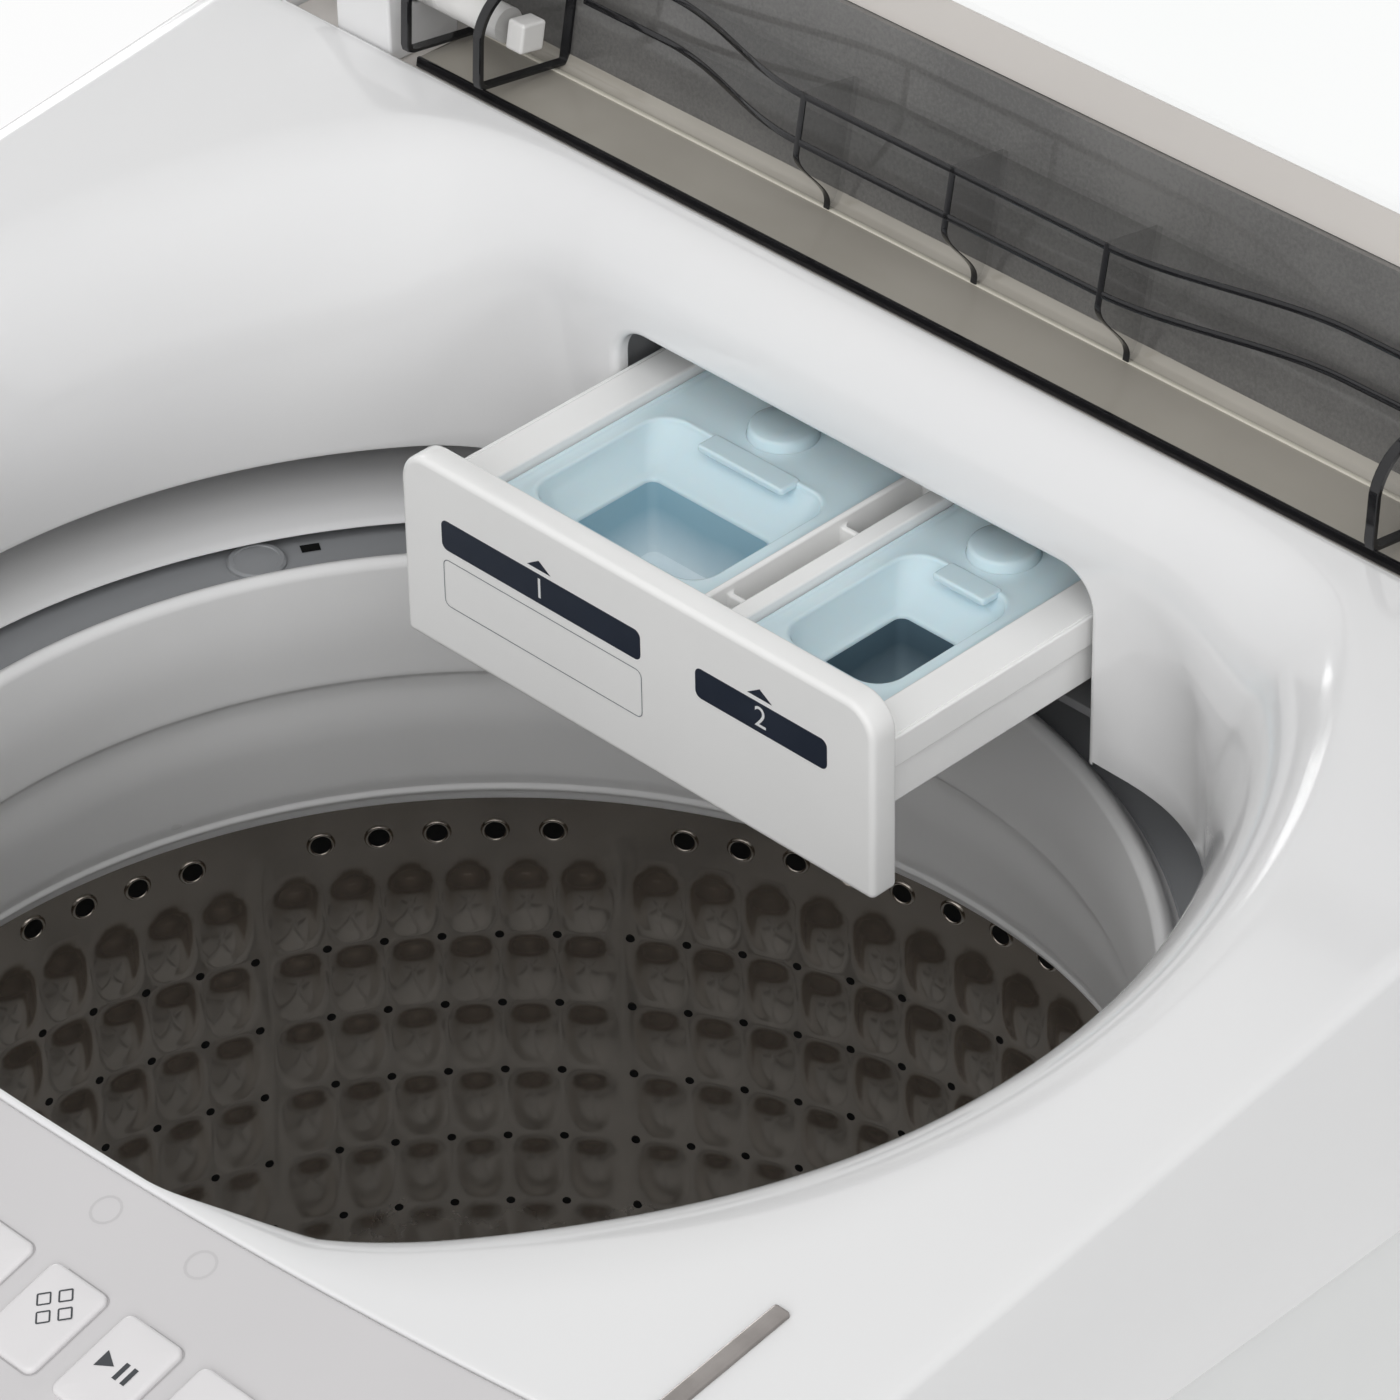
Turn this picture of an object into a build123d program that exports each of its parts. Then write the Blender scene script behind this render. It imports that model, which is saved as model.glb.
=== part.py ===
from build123d import *
import os
from math import atan2, cos, degrees, hypot, pi, radians, sin, tan

# Overall sizes, in millimetres. X runs to the right seen from the front, Y to the rear, Z up.
# The origin is on the floor under the drum's axis.
WIDTH = 540.0
DEPTH = 564.0
RIM_Z = 850.0
SEAM_Z = 872.0
CORNER_R = 26.0

# Top cover: sloping shoulders, bowl round the drum's mouth, rear wall with the drawer slot
SHOULDER_Z = 950.9
SHOULDER_SLOPE = 0.136
RIDGE_Y = -176.0
CREST_Y = 167.0
PANEL_SLOPE_DEG = 16.0
SKIN = 3.0
BOWL_EDGE_GAP = 9.4
BOWL_FLARE = 42.0
BOWL_EDGE_Z = 881.0
BOWL_BACK_Y = 147.5
BOWL_FRONT_Y = -174.5
BOWL_CORNER_SOFTNESS = 12.0
BOWL_POINTS = 48
DECK_Z = 968.0
POCKET_EDGE = 20.0
SKY_Z = SHOULDER_Z + 70.0

# Control panel
PANEL_T = 3.0
BUTTON_W = 20.0
BUTTON_L = 27.0
BUTTON_PITCH = 26.65
BUTTON_COUNT = 7
BUTTON_LAST_X = 144.4
BUTTON_BACK = 44.2
BUTTON_PROUD = 1.6
BUTTON_TRAVEL = 1.4

# Detergent drawer, shown pulled out
DRAWER_FRONT_Y = 65.0
DRAWER_HALF = 89.6
DRAWER_Z0 = 879.0
DRAWER_Z1 = 940.0
DRAWER_FRONT_T = 9.0
DRAWER_LENGTH = 104.0
TRAY_TOP_Z = 926.5
TRAY_HALF = 86.6
TRAY_WALL = 12.5
TRAY_SIDE_Z = 904.0
TRAY_LOWER_HALF = 63.6
PART_X0 = 6.0
PART_X1 = 22.0
INSERT_DROP = 3.0
INSERT_GAP = 0.5
DISH_DEPTH = 11.0
DRAWER_TRAVEL = 80.0
SLOT_GAP = 1.1
RUNNER_Z = TRAY_SIDE_Z + 2.0
HOSE_X = -150.0
HOSE_Z = 930.0
HOSE_R = 8.5
INLET_Z = 836.0
INLET_R = 13.2
DRAIN_X = 120.0
DRAIN_Y = 90.0
DRAIN_Z = 372.0
OUTLET_R = 20.0
DRAIN_BORE = 22.0

# Lid, shown standing open and leaning back
LID_LEAN_DEG = 11.0
LID_BEND_Y = 203.5
LID_BEND_Z = 971.0
LID_EDGE = 12.0
LID_LENGTH = 378.0
LID_SKIN = 3.0
LID_REAR_BAND = 56.0
LID_BORDER = 13.5
GLASS_T = 3.2
HINGE_UP = 14.9
HINGE_OUT = 22.8
HINGE_PIN_R = 5.5
POST_W = 23.0
POST_EDGE = 11.0
EAR_EDGE = 42.0
EAR_PITCH = 30.0

# Tub, drum and drive
TUB_EDGE = 20.0
TUB_REAR_EDGE = 32.0
TUB_WALL = 3.0
TUB_Z0 = 400.0
TUB_Z1 = 838.0
DRUM_GAP = 11.8
DRUM_WALL = 1.2
DRUM_Z0 = 455.0
RING_W = 50.6
RING_THROAT = 3.5
RING_FLARE = 14.9
RING_FOOT_Z = 748.0
PULSATOR_EDGE = 66.2
MOTOR_Y = -160.0
PULLEY_BIG_R = 72.0
PULLEY_SMALL_R = 22.0
WASH_R = 8.5
SPIN_R = 19.8
HUB_R = 22.3
ROD_EDGE_X = 48.0
ROD_EDGE_Y = 56.0

# Cabinet and base
SHEET = 1.2
CAB_Z0 = 62.0
CAB_EDGE = 2.0
REAR_RECESS = 18.0
FOOT_EDGE_X = 44.0
FOOT_EDGE_Y = 48.0
FOOT_R = 20.0

os.makedirs("parts", exist_ok=True)


def box(x0, x1, y0, y1, z0, z1):
    return Pos((x0 + x1) / 2, (y0 + y1) / 2, (z0 + z1) / 2) * Box(x1 - x0, y1 - y0, z1 - z0)


def rod(x, y, z0, z1, r):
    return Pos(x, y, (z0 + z1) / 2) * Cylinder(r, z1 - z0)


def tube(x, y, z0, z1, r_out, r_in):
    return rod(x, y, z0, z1, r_out) - rod(x, y, z0 - 1, z1 + 1, r_in)


def bar_y(x, z, y0, y1, r):
    return Pos(x, (y0 + y1) / 2, z) * Rot(90, 0, 0) * Cylinder(r, y1 - y0)


def bar_x(y, z, x0, x1, r):
    return Pos((x0 + x1) / 2, y, z) * Rot(0, 90, 0) * Cylinder(r, x1 - x0)


def turned(points):
    return revolve(make_face(Plane.XZ * Polyline(*points, close=True)), Axis.Z, 360)


def side_cut(points, x0, x1):
    face = make_face(Polyline(*points, close=True))
    return extrude(Plane.YZ.offset(x0) * face, amount=x1 - x0)


def slab(w, d, r, z0, z1, y=0.0, x=0.0):
    return extrude(Pos(x, y, z0) * RectangleRounded(w, d, r), amount=z1 - z0)


def shoulder(y):
    return SHOULDER_Z + SHOULDER_SLOPE * y


def save(shape, name):
    solids = shape.solids()
    body = solids[0] if len(solids) == 1 else Compound(children=list(solids))
    body.label = name
    export_step(body, "parts/" + name + ".step")


HALF_W = WIDTH / 2
HALF_D = DEPTH / 2
POCKET_HALF = HALF_W - POCKET_EDGE
LID_HALF = POCKET_HALF - LID_EDGE
POST_X1 = LID_HALF - POST_EDGE
POST_X0 = POST_X1 - POST_W
CAB_FRONT_Y = CAB_EDGE - HALF_D
CAB_REAR_Y = HALF_D - REAR_RECESS
HOSE_Y = CAB_REAR_Y - 19.0
ROD_X = HALF_W - ROD_EDGE_X
ROD_Y = HALF_D - ROD_EDGE_Y
FOOT_X = HALF_W - FOOT_EDGE_X
TUB_R = min(HALF_W - TUB_EDGE, HALF_D - TUB_REAR_EDGE)
DRUM_R = TUB_R - DRUM_GAP
RING_RIM_R = DRUM_R - RING_W
RING_THROAT_R = RING_RIM_R - RING_THROAT
RING_FOOT_R = RING_RIM_R + RING_FLARE
PULSATOR_R = DRUM_R - PULSATOR_EDGE
BOWL_EDGE_R = RING_RIM_R + BOWL_EDGE_GAP
PANEL_TAN = tan(radians(PANEL_SLOPE_DEG))
RIDGE_Z = shoulder(RIDGE_Y)


def panel_z(y):
    return RIDGE_Z + PANEL_TAN * (y - RIDGE_Y)


# Cabinet: one bent steel sheet for front and sides, with returns at the rear and a plate in each
# upper corner that carries a suspension rod.
cab_mid = (CAB_FRONT_Y + CAB_REAR_Y) / 2
cab_len = CAB_REAR_Y - CAB_FRONT_Y
cab_w = WIDTH - 2 * CAB_EDGE
cabinet = slab(cab_w, cab_len, 22, CAB_Z0, SEAM_Z - 0.5, cab_mid)
cabinet -= slab(cab_w - 2 * SHEET, cab_len - 2 * SHEET, 22 - SHEET, CAB_Z0 - 1, SEAM_Z + 1, cab_mid)
rear_half = HALF_W - 38.0
cabinet -= box(-rear_half, rear_half, CAB_REAR_Y - 10, CAB_REAR_Y + 5, CAB_Z0 - 1, SEAM_Z + 1)
for sx in (-1, 1):
    for sy in (-1, 1):
        wall_x = cab_w / 2 - 0.6
        wall_y = CAB_REAR_Y - 0.6 if sy > 0 else -CAB_FRONT_Y - 0.6
        outline = Polyline(
            (sx * wall_x, sy * (wall_y - 24)),
            (sx * wall_x, sy * (wall_y - 70)),
            (sx * (wall_x - 70), sy * wall_y),
            (sx * (wall_x - 24), sy * wall_y),
            close=True,
        )
        plate = extrude(Pos(0, 0, 812) * make_face(outline), amount=3)
        cabinet += plate - rod(sx * ROD_X, sy * ROD_Y, 800, 830, 6)
save(cabinet, "cabinet")

# Rear panel: flat sheet with three pressed beads, closed by screws onto the cabinet's returns.
rear_panel = box(-rear_half - 14, rear_half + 14, CAB_REAR_Y, CAB_REAR_Y + SHEET, 78, SEAM_Z - 2)
for bead_z in (230, 480, 700):
    rear_panel += box(-180, 180, CAB_REAR_Y + SHEET, CAB_REAR_Y + SHEET + 2.4, bead_z, bead_z + 14)
rear_panel -= bar_y(HOSE_X, INLET_Z, CAB_REAR_Y - 5, CAB_REAR_Y + 10, INLET_R + 1)
rear_panel -= bar_y(DRAIN_X, DRAIN_Z, CAB_REAR_Y - 5, CAB_REAR_Y + 10, OUTLET_R + 1)
save(rear_panel, "rear_panel")

# Base frame: moulded skirt with a lip inside the cabinet and a pad over each foot.
base = slab(cab_w, cab_len, 22, 20, CAB_Z0, cab_mid)
base += slab(cab_w - 2 * SHEET - 1, cab_len - 2 * SHEET - 1, 20, CAB_Z0, 78, cab_mid)
base -= slab(cab_w - 12, cab_len - 12, 18, 36, 80, cab_mid)
base -= slab(400, 420, 60, 10, 60, cab_mid)
FEET = []
for sx in (-1, 1):
    for fy in (CAB_FRONT_Y + FOOT_EDGE_Y, CAB_REAR_Y - FOOT_EDGE_Y + 2):
        FEET.append((sx * FOOT_X, fy))
for fx, fy in FEET:
    base += rod(fx, fy, 30, 46, 18)
    base -= rod(fx, fy, 10, 50, 8.2)
save(base, "base_frame")

# Feet: rubber pads on threaded stems, one at each corner.
FOOT_NAMES = ("foot_front_left", "foot_rear_left", "foot_front_right", "foot_rear_right")
for (fx, fy), name in zip(FEET, FOOT_NAMES):
    foot = rod(fx, fy, 0, 11, FOOT_R) + rod(fx, fy, 11, 20, 13) + rod(fx, fy, 20, 44, 7.8)
    save(foot, name)

# Top cover: glossy moulding with sloping shoulders, a rounded bowl with a flat front and back,
# a slot for the drawer and a pocket behind the crest for the rear deck.
panel_drop = PANEL_T / cos(radians(PANEL_SLOPE_DEG))
front_z = panel_z(-HALF_D) - panel_drop
step_z = panel_z(RIDGE_Y - 3) - panel_drop
outer_side = [
    (-HALF_D, SEAM_Z),
    (-HALF_D, front_z),
    (RIDGE_Y - 3, step_z),
    (RIDGE_Y - 3, shoulder(RIDGE_Y - 3)),
    (HALF_D, shoulder(HALF_D)),
    (HALF_D, SEAM_Z),
]
cover = side_cut(outer_side, -HALF_W, HALF_W)
cover &= slab(WIDTH, DEPTH, CORNER_R, SEAM_Z, SKY_Z)
pocket = box(-POCKET_HALF, POCKET_HALF, CREST_Y + 2, HALF_D - SKIN, DECK_Z - 10, SKY_Z)
inner_side = [
    (-HALF_D + SKIN, SEAM_Z - 2),
    (-HALF_D + SKIN, front_z - SKIN),
    (RIDGE_Y, step_z - SKIN),
    (RIDGE_Y, shoulder(RIDGE_Y) - SKIN),
    (CREST_Y - SKIN + 1, shoulder(CREST_Y) - SKIN),
    (CREST_Y - SKIN + 1, DECK_Z - 10 - SKIN),
    (HALF_D - SKIN, DECK_Z - 10 - SKIN),
    (HALF_D - SKIN, SEAM_Z - 2),
]
cavity = side_cut(inner_side, -HALF_W + SKIN, HALF_W - SKIN)
cavity &= slab(WIDTH - 2 * SKIN, DEPTH - 2 * SKIN, CORNER_R - SKIN, SEAM_Z - 5, SKY_Z)
shell = cover - pocket - cavity


def bowl_reach(turn, side, back, front):
    # Distance from the drum's axis to a round outline with a flat back and front and soft corners.
    limits = [side]
    if sin(turn) > 0.05:
        limits.append(back / sin(turn))
    if sin(turn) < -0.05:
        limits.append(front / sin(turn))
    total = sum(limit ** -BOWL_CORNER_SOFTNESS for limit in limits)
    return total ** (-1 / BOWL_CORNER_SOFTNESS)


def bowl_section(lift_deg, grow):
    # One closed section of the bowl: it tilts from level at the foot to the shoulders' slope at the top,
    # and runs out along a quarter ellipse.
    lift = radians(lift_deg)
    points = []
    for k in range(BOWL_POINTS):
        turn = 2 * pi * k / BOWL_POINTS
        foot = bowl_reach(turn, BOWL_EDGE_R, BOWL_BACK_Y, BOWL_FRONT_Y)
        top = bowl_reach(turn, BOWL_EDGE_R + BOWL_FLARE, CREST_Y, RIDGE_Y - 2)
        reach = foot + (top - foot) * (1 - cos(lift)) + grow
        y = reach * sin(turn)
        rise = (shoulder(y) - BOWL_EDGE_Z) * sin(lift)
        points.append((reach * cos(turn), y, BOWL_EDGE_Z + rise))
    return make_face(Spline(*points, periodic=True))


def bowl_body(grow, below):
    # The bowl's inside: sections lofted from foot to crest, run on straight up and down.
    sections = [bowl_section(lift, grow) for lift in (0, 25, 48, 68, 85)]
    body = loft(sections)
    body += extrude(sections[-1], amount=60, dir=(0, 0, 1))
    if below > 0:
        body += extrude(sections[0], amount=below, dir=(0, 0, -1))
    return body


bowl_void = bowl_body(0.0, 15.0)
bowl_skin = bowl_body(SKIN, 0.0) & cover
top_cover = shell + bowl_skin - bowl_void
slot_w = 2 * (DRAWER_HALF + SLOT_GAP)
slot_top = DRAWER_Z1 + SLOT_GAP
slot_foot = BOWL_EDGE_Z - 30
slot_face = Pos(0, (slot_top + slot_foot) / 2) * RectangleRounded(slot_w, slot_top - slot_foot, 11)
top_cover -= extrude(Plane((0, 175, 0), (1, 0, 0), (0, -1, 0)) * slot_face, amount=45)
last_x = BUTTON_LAST_X
first_x = last_x - BUTTON_PITCH * (BUTTON_COUNT - 1)
top_cover -= box(-170, last_x + 20, -268, -192, SEAM_Z + 4, RIDGE_Z + 33)
save(top_cover, "top_cover")

# Rear deck: plain tray-like moulding that closes the pocket behind the crest.
deck = box(-POCKET_HALF + 1, POCKET_HALF - 1, CREST_Y + 3, HALF_D - 4, DECK_Z - 10, DECK_Z)
deck -= box(-POCKET_HALF + 4, POCKET_HALF - 4, CREST_Y + 6, HALF_D - 7, DECK_Z - 11, DECK_Z - 3)
save(deck, "rear_deck")

# Control panel: sloping matte plate at the front with a window and a row of key openings.
PANEL_TILT = Plane(
    (0, RIDGE_Y, RIDGE_Z),
    (1, 0, 0),
    (0, -sin(radians(PANEL_SLOPE_DEG)), cos(radians(PANEL_SLOPE_DEG))),
)
panel_len = (HALF_D + RIDGE_Y - 1.5) / cos(radians(PANEL_SLOPE_DEG))
panel_mid = -(panel_len / 2 + 3.6)
panel_shape = Pos(0, panel_mid) * RectangleRounded(WIDTH - 6, panel_len - 4, 14)
panel = extrude(PANEL_TILT * panel_shape, amount=-PANEL_T)
key_y = -BUTTON_BACK
key_xs = [first_x + BUTTON_PITCH * i for i in range(BUTTON_COUNT)]
for kx in key_xs:
    opening = Pos(kx, key_y) * RectangleRounded(BUTTON_W + 1, BUTTON_L + 1, 3)
    panel -= extrude(PANEL_TILT.offset(2) * opening, amount=-PANEL_T - 4)
WINDOW_X = -95.0
window_shape = Pos(WINDOW_X, key_y) * RectangleRounded(74, 30, 3)
panel -= extrude(PANEL_TILT.offset(2) * window_shape, amount=-2 - 1.6)
save(panel, "control_panel")

# Display window: tinted plate let into the panel.
glass_shape = Pos(WINDOW_X, key_y) * RectangleRounded(73.4, 29.4, 2.7)
window = extrude(PANEL_TILT.offset(-0.1) * glass_shape, amount=-1.5)
save(window, "display_window")

# Keys: separate caps with a foot flange below the panel and a plunger over the board.
for i, kx in enumerate(key_xs):
    cap = Pos(kx, key_y) * RectangleRounded(BUTTON_W, BUTTON_L, 2.6)
    flange = Pos(kx, key_y) * RectangleRounded(BUTTON_W + 4.4, BUTTON_L + 6, 2.6)
    key = extrude(PANEL_TILT.offset(BUTTON_PROUD) * cap, amount=-BUTTON_PROUD - PANEL_T - 1.2)
    key += extrude(PANEL_TILT.offset(-PANEL_T - 0.3) * flange, amount=-1.4)
    key += extrude(PANEL_TILT.offset(-PANEL_T - 1.2) * (Pos(kx, key_y) * Circle(3)), amount=-4.6)
    save(key, "key_" + str(i + 1))

# Control board: circuit board with blocks for its parts, on the underside of the panel.
board_face = Pos((first_x + last_x) / 2 - 55, key_y) * Rectangle(300, 44)
board = extrude(PANEL_TILT.offset(-PANEL_T - 8.6) * board_face, amount=-1.6)
for bx in (-170, -120, -20, 60):
    part_face = Pos(bx + 20, key_y - 4) * Rectangle(26, 18)
    board += extrude(PANEL_TILT.offset(-PANEL_T - 10.2) * part_face, amount=-7)
for bx in (-125, 148):
    for by in (-19.8, 19.8):
        post_face = Pos(bx, key_y + by) * Circle(2)
        board += extrude(PANEL_TILT.offset(-PANEL_T) * post_face, amount=-9)
save(board, "control_board")

# Trim bar: plain bright strip on the right shoulder.
bar_plane = Plane((0, 0, SHOULDER_Z), (1, 0, 0), (0, -SHOULDER_SLOPE, 1))
trim_face = Pos(HALF_W - 39, -142.2) * RectangleRounded(5, 58, 1)
save(extrude(bar_plane * trim_face, amount=1.6), "trim_bar")

# Drawer housing: box behind the bowl's rear wall with ledges for the drawer.
house_y0 = BOWL_BACK_Y
house_y1 = HALF_D - 8.0
house_z1 = DECK_Z - 10 - SKIN - 2
house_half = DRAWER_HALF + 7.4
housing = box(-house_half, house_half, house_y0, house_y1, DRAWER_Z0 - 3, house_z1)
housing -= box(-house_half + 3, house_half - 3, house_y0 - 1, house_y1 - 3, DRAWER_Z0, house_z1 - 4)
for sx in (-1, 1):
    ledge = sorted((sx * (DRAWER_HALF + 1.6), sx * (house_half - 2.5)))
    housing += box(ledge[0], ledge[1], house_y0, house_y1 - 2, RUNNER_Z - 3.3, RUNNER_Z - 0.3)
housing -= bowl_body(SKIN + 0.4, 15.0)
housing -= bar_x(HOSE_Y, HOSE_Z, -house_half - 5, -house_half + 5, HOSE_R + 0.4)
save(housing, "drawer_housing")

# Inlet valve: water valve with a threaded spigot through the rear panel.
valve = box(HOSE_X - 22, HOSE_X + 22, HOSE_Y - 13, HOSE_Y + 13, INLET_Z - 20, INLET_Z + 20)
valve += bar_y(HOSE_X, INLET_Z, HOSE_Y + 12, CAB_REAR_Y, 20)
valve += bar_y(HOSE_X, INLET_Z, CAB_REAR_Y - 8, HALF_D - 2, INLET_R)
valve += bar_y(HOSE_X, INLET_Z, CAB_REAR_Y + SHEET, CAB_REAR_Y + SHEET + 2, INLET_R + 7)
valve -= bar_y(HOSE_X, INLET_Z, CAB_REAR_Y - 2, HALF_D, INLET_R - 4)
save(valve, "inlet_valve")

# Inlet hose: short elbow from the valve up to the housing's side.
hose_z0 = INLET_Z + 20
hose_path = FilletPolyline(
    (HOSE_X, HOSE_Y, hose_z0), (HOSE_X, HOSE_Y, HOSE_Z), (-house_half + 1.5, HOSE_Y, HOSE_Z), radius=26
)
hose_face = Plane((HOSE_X, HOSE_Y, hose_z0), (1, 0, 0), (0, 0, 1)) * Circle(HOSE_R)
save(sweep(hose_face, path=hose_path), "inlet_hose")

# Drain outlet: flanged spout through the rear panel, flared on the inside.
outlet = bar_y(DRAIN_X, DRAIN_Z, CAB_REAR_Y - 24, CAB_REAR_Y, OUTLET_R + 20)
outlet -= bar_y(DRAIN_X, DRAIN_Z, CAB_REAR_Y - 30, CAB_REAR_Y - 6, OUTLET_R + 17)
outlet += bar_y(DRAIN_X, DRAIN_Z, CAB_REAR_Y - 2, HALF_D - 2, OUTLET_R)
outlet += bar_y(DRAIN_X, DRAIN_Z, CAB_REAR_Y + SHEET, CAB_REAR_Y + SHEET + 2, OUTLET_R + 6)
outlet -= bar_y(DRAIN_X, DRAIN_Z, CAB_REAR_Y - 30, HALF_D, OUTLET_R - 5)
save(outlet, "drain_outlet")

# Drawer tray: white tray with wide, shallow walls, a narrower well below them and a grooved partition
# that carries small webs.
tray_y0 = DRAWER_FRONT_Y + DRAWER_FRONT_T
tray_y1 = tray_y0 + DRAWER_LENGTH
well_y0 = tray_y0 + 2.4
well_y1 = tray_y1 - 2.4
well_z = DRAWER_Z0 + 4.4
well_half = TRAY_HALF - TRAY_WALL
lower_half = TRAY_LOWER_HALF - 2.4
tray = box(-TRAY_HALF, TRAY_HALF, tray_y0, tray_y1, TRAY_SIDE_Z, TRAY_TOP_Z)
tray += box(-TRAY_LOWER_HALF, TRAY_LOWER_HALF, tray_y0, tray_y1, DRAWER_Z0 + 2, TRAY_SIDE_Z + 1)
tray -= box(-well_half, PART_X0, well_y0, well_y1, TRAY_SIDE_Z + 2.4, TRAY_TOP_Z + 1)
tray -= box(PART_X1, well_half, well_y0, well_y1, TRAY_SIDE_Z + 2.4, TRAY_TOP_Z + 1)
tray -= box(-lower_half, PART_X0, well_y0, well_y1, well_z, TRAY_SIDE_Z + 3)
tray -= box(PART_X1, lower_half, well_y0, well_y1, well_z, TRAY_SIDE_Z + 3)
groove = (PART_X0 + 2, PART_X1 - 6)
tray -= box(groove[0], groove[1], tray_y0 + 6, tray_y1 - 8, DRAWER_Z0 + 14, TRAY_TOP_Z + 1)
for web in (0.2, 0.62):
    web_y = tray_y0 + DRAWER_LENGTH * web
    tray += box(groove[0] - 0.5, groove[1] + 0.5, web_y - 1, web_y + 1, DRAWER_Z0 + 12, TRAY_TOP_Z - 3)
for sx in (-1, 1):
    hollow = sorted((sx * (TRAY_HALF - 2.4), sx * (well_half + 2.4)))
    tray -= box(hollow[0], hollow[1], well_y0, well_y1, DRAWER_Z0, TRAY_TOP_Z - 2.4)
    runner = sorted((sx * (TRAY_HALF - 1), sx * (DRAWER_HALF + 4)))
    tray += box(runner[0], runner[1], tray_y1 - 20, tray_y1, RUNNER_Z, RUNNER_Z + 3)
save(tray, "drawer_tray")

# Drawer front: thick panel that closes the slot, well rounded at its two upper corners.
front_h = DRAWER_Z1 - DRAWER_Z0
front_face = Pos(0, DRAWER_Z0 + front_h / 2) * RectangleRounded(2 * DRAWER_HALF, front_h, 10)
front_face += Pos(0, DRAWER_Z0 + 10) * RectangleRounded(2 * DRAWER_HALF, 20, 2)
front_plane = Plane((0, tray_y0, 0), (1, 0, 0), (0, -1, 0))
save(extrude(front_plane * front_face, amount=DRAWER_FRONT_T), "drawer_front")


# Drawer inserts: translucent plates hung in the two wells, each with a dished mouth over a chute with
# a closed floor, and a round raised cap behind the mouth.
INSERT_T = 2.0
INSERT_Z = TRAY_TOP_Z - INSERT_DROP
DISH_Z = INSERT_Z - DISH_DEPTH
CHUTE_FLOOR_Z = DRAWER_Z0 + 8.0


def dish(x, y, mouth, chute, grow, top_z, foot_z):
    mouth_face = RectangleRounded(mouth[0] + grow, mouth[1] + grow, 11 + grow / 2)
    chute_face = RectangleRounded(chute[0] + grow, chute[1] + grow, 5 + grow / 2)
    body = loft([Pos(x, y, DISH_Z) * chute_face, Pos(x, y, INSERT_Z) * mouth_face])
    if top_z > INSERT_Z:
        body += extrude(Pos(x, y, INSERT_Z) * mouth_face, amount=top_z - INSERT_Z)
    return body + extrude(Pos(x, y, foot_z) * chute_face, amount=DISH_Z - foot_z)


def insert(x0, x1, mouth_x, mouth, chute, cap_x):
    y0 = well_y0 + INSERT_GAP
    y1 = well_y1 - INSERT_GAP
    mouth_y = y0 + 14 + mouth[1] / 2
    body = box(x0 + INSERT_GAP, x1 - INSERT_GAP, y0, y1, INSERT_Z - INSERT_T, INSERT_Z)
    body += dish(mouth_x, mouth_y, mouth, chute, 2 * INSERT_T, INSERT_Z, CHUTE_FLOOR_Z - INSERT_T)
    body -= dish(mouth_x, mouth_y, mouth, chute, 0.0, INSERT_Z + 2, CHUTE_FLOOR_Z)
    return body + rod(cap_x, y1 - 15, INSERT_Z - 1, INSERT_Z + 2.5, 10)


save(insert(-well_half, PART_X0, -35, (62, 53), (40, 29), -36), "powder_insert")
save(insert(PART_X1, well_half, 48, (38, 53), (20, 29), 47.5), "softener_insert")

# Lid: built standing at its rear bend, then leaned back.
LEAN = Pos(0, LID_BEND_Y, LID_BEND_Z) * Rot(-LID_LEAN_DEG, 0, 0)


def skirt_depth(s):
    return 35.5 - (s - 15) * 0.0812


frame = box(-LID_HALF, LID_HALF, 0, LID_SKIN, 0, LID_LENGTH)
frame -= box(-LID_HALF + 16, LID_HALF - 16, -1, 4, LID_REAR_BAND, LID_LENGTH - 18)
back_half = LID_HALF - 40.0
frame += side_cut([(0.5, 0), (-27.8, -3.87), (-27.8, -1.4), (0.5, 2.5)], -back_half, back_half)
for sx in (-1, 1):
    xs = sorted((sx * (LID_HALF - 2.5), sx * LID_HALF))
    wall = [(0.5, 0), (-skirt_depth(4), 0), (-skirt_depth(LID_LENGTH), LID_LENGTH), (0.5, LID_LENGTH)]
    frame += side_cut(wall, xs[0], xs[1])
    for ear_x in (LID_HALF - EAR_EDGE - EAR_PITCH, LID_HALF - EAR_EDGE):
        ex = sorted((sx * (ear_x - 1.5), sx * (ear_x + 1.5)))
        frame += box(ex[0], ex[1], -HINGE_OUT, 0.5, HINGE_UP - 15, HINGE_UP + 15)
        frame += bar_x(-HINGE_OUT, HINGE_UP, ex[0], ex[1], 15)
        frame -= bar_x(-HINGE_OUT, HINGE_UP, ex[0] - 1, ex[1] + 1, HINGE_PIN_R)
frame += box(-LID_HALF, LID_HALF, -skirt_depth(LID_LENGTH), 0.5, LID_LENGTH - 2.5, LID_LENGTH)
for shelf_s in (21.5, 35.2):
    left = Spline((-158, -4), (-112, -6), (-84, -14), (-56, -21.5), tangents=[(1, 0), (1, 0)])
    right = Spline((56, -21.5), (84, -14), (112, -6), (158, -4), tangents=[(1, 0), (1, 0)])
    outline = [
        left,
        Line((-56, -21.5), (56, -21.5)),
        right,
        Polyline((158, -4), (158, 0.5), (-158, 0.5), (-158, -4)),
    ]
    frame += extrude(Pos(0, 0, shelf_s) * make_face(outline), amount=2)
for gx in (-56, 0, 56):
    gusset = [(0.5, 37.2), (-21.5, 37.2), (-21.5, 21.5), (-17, 17), (-9, 12), (-6, 2), (0.5, 2)]
    frame += side_cut(gusset, gx - 1, gx + 1)
save(LEAN * frame, "lid_frame")

# Lid glass: tempered plate on the outer side of the frame.
glass = slab(2 * LID_HALF - 14, LID_LENGTH - 50, 12, 0, GLASS_T)
glass = Pos(0, LID_SKIN + GLASS_T, 45 + (LID_LENGTH - 50) / 2) * Rot(90, 0, 0) * glass
save(LEAN * glass, "lid_glass")

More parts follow.
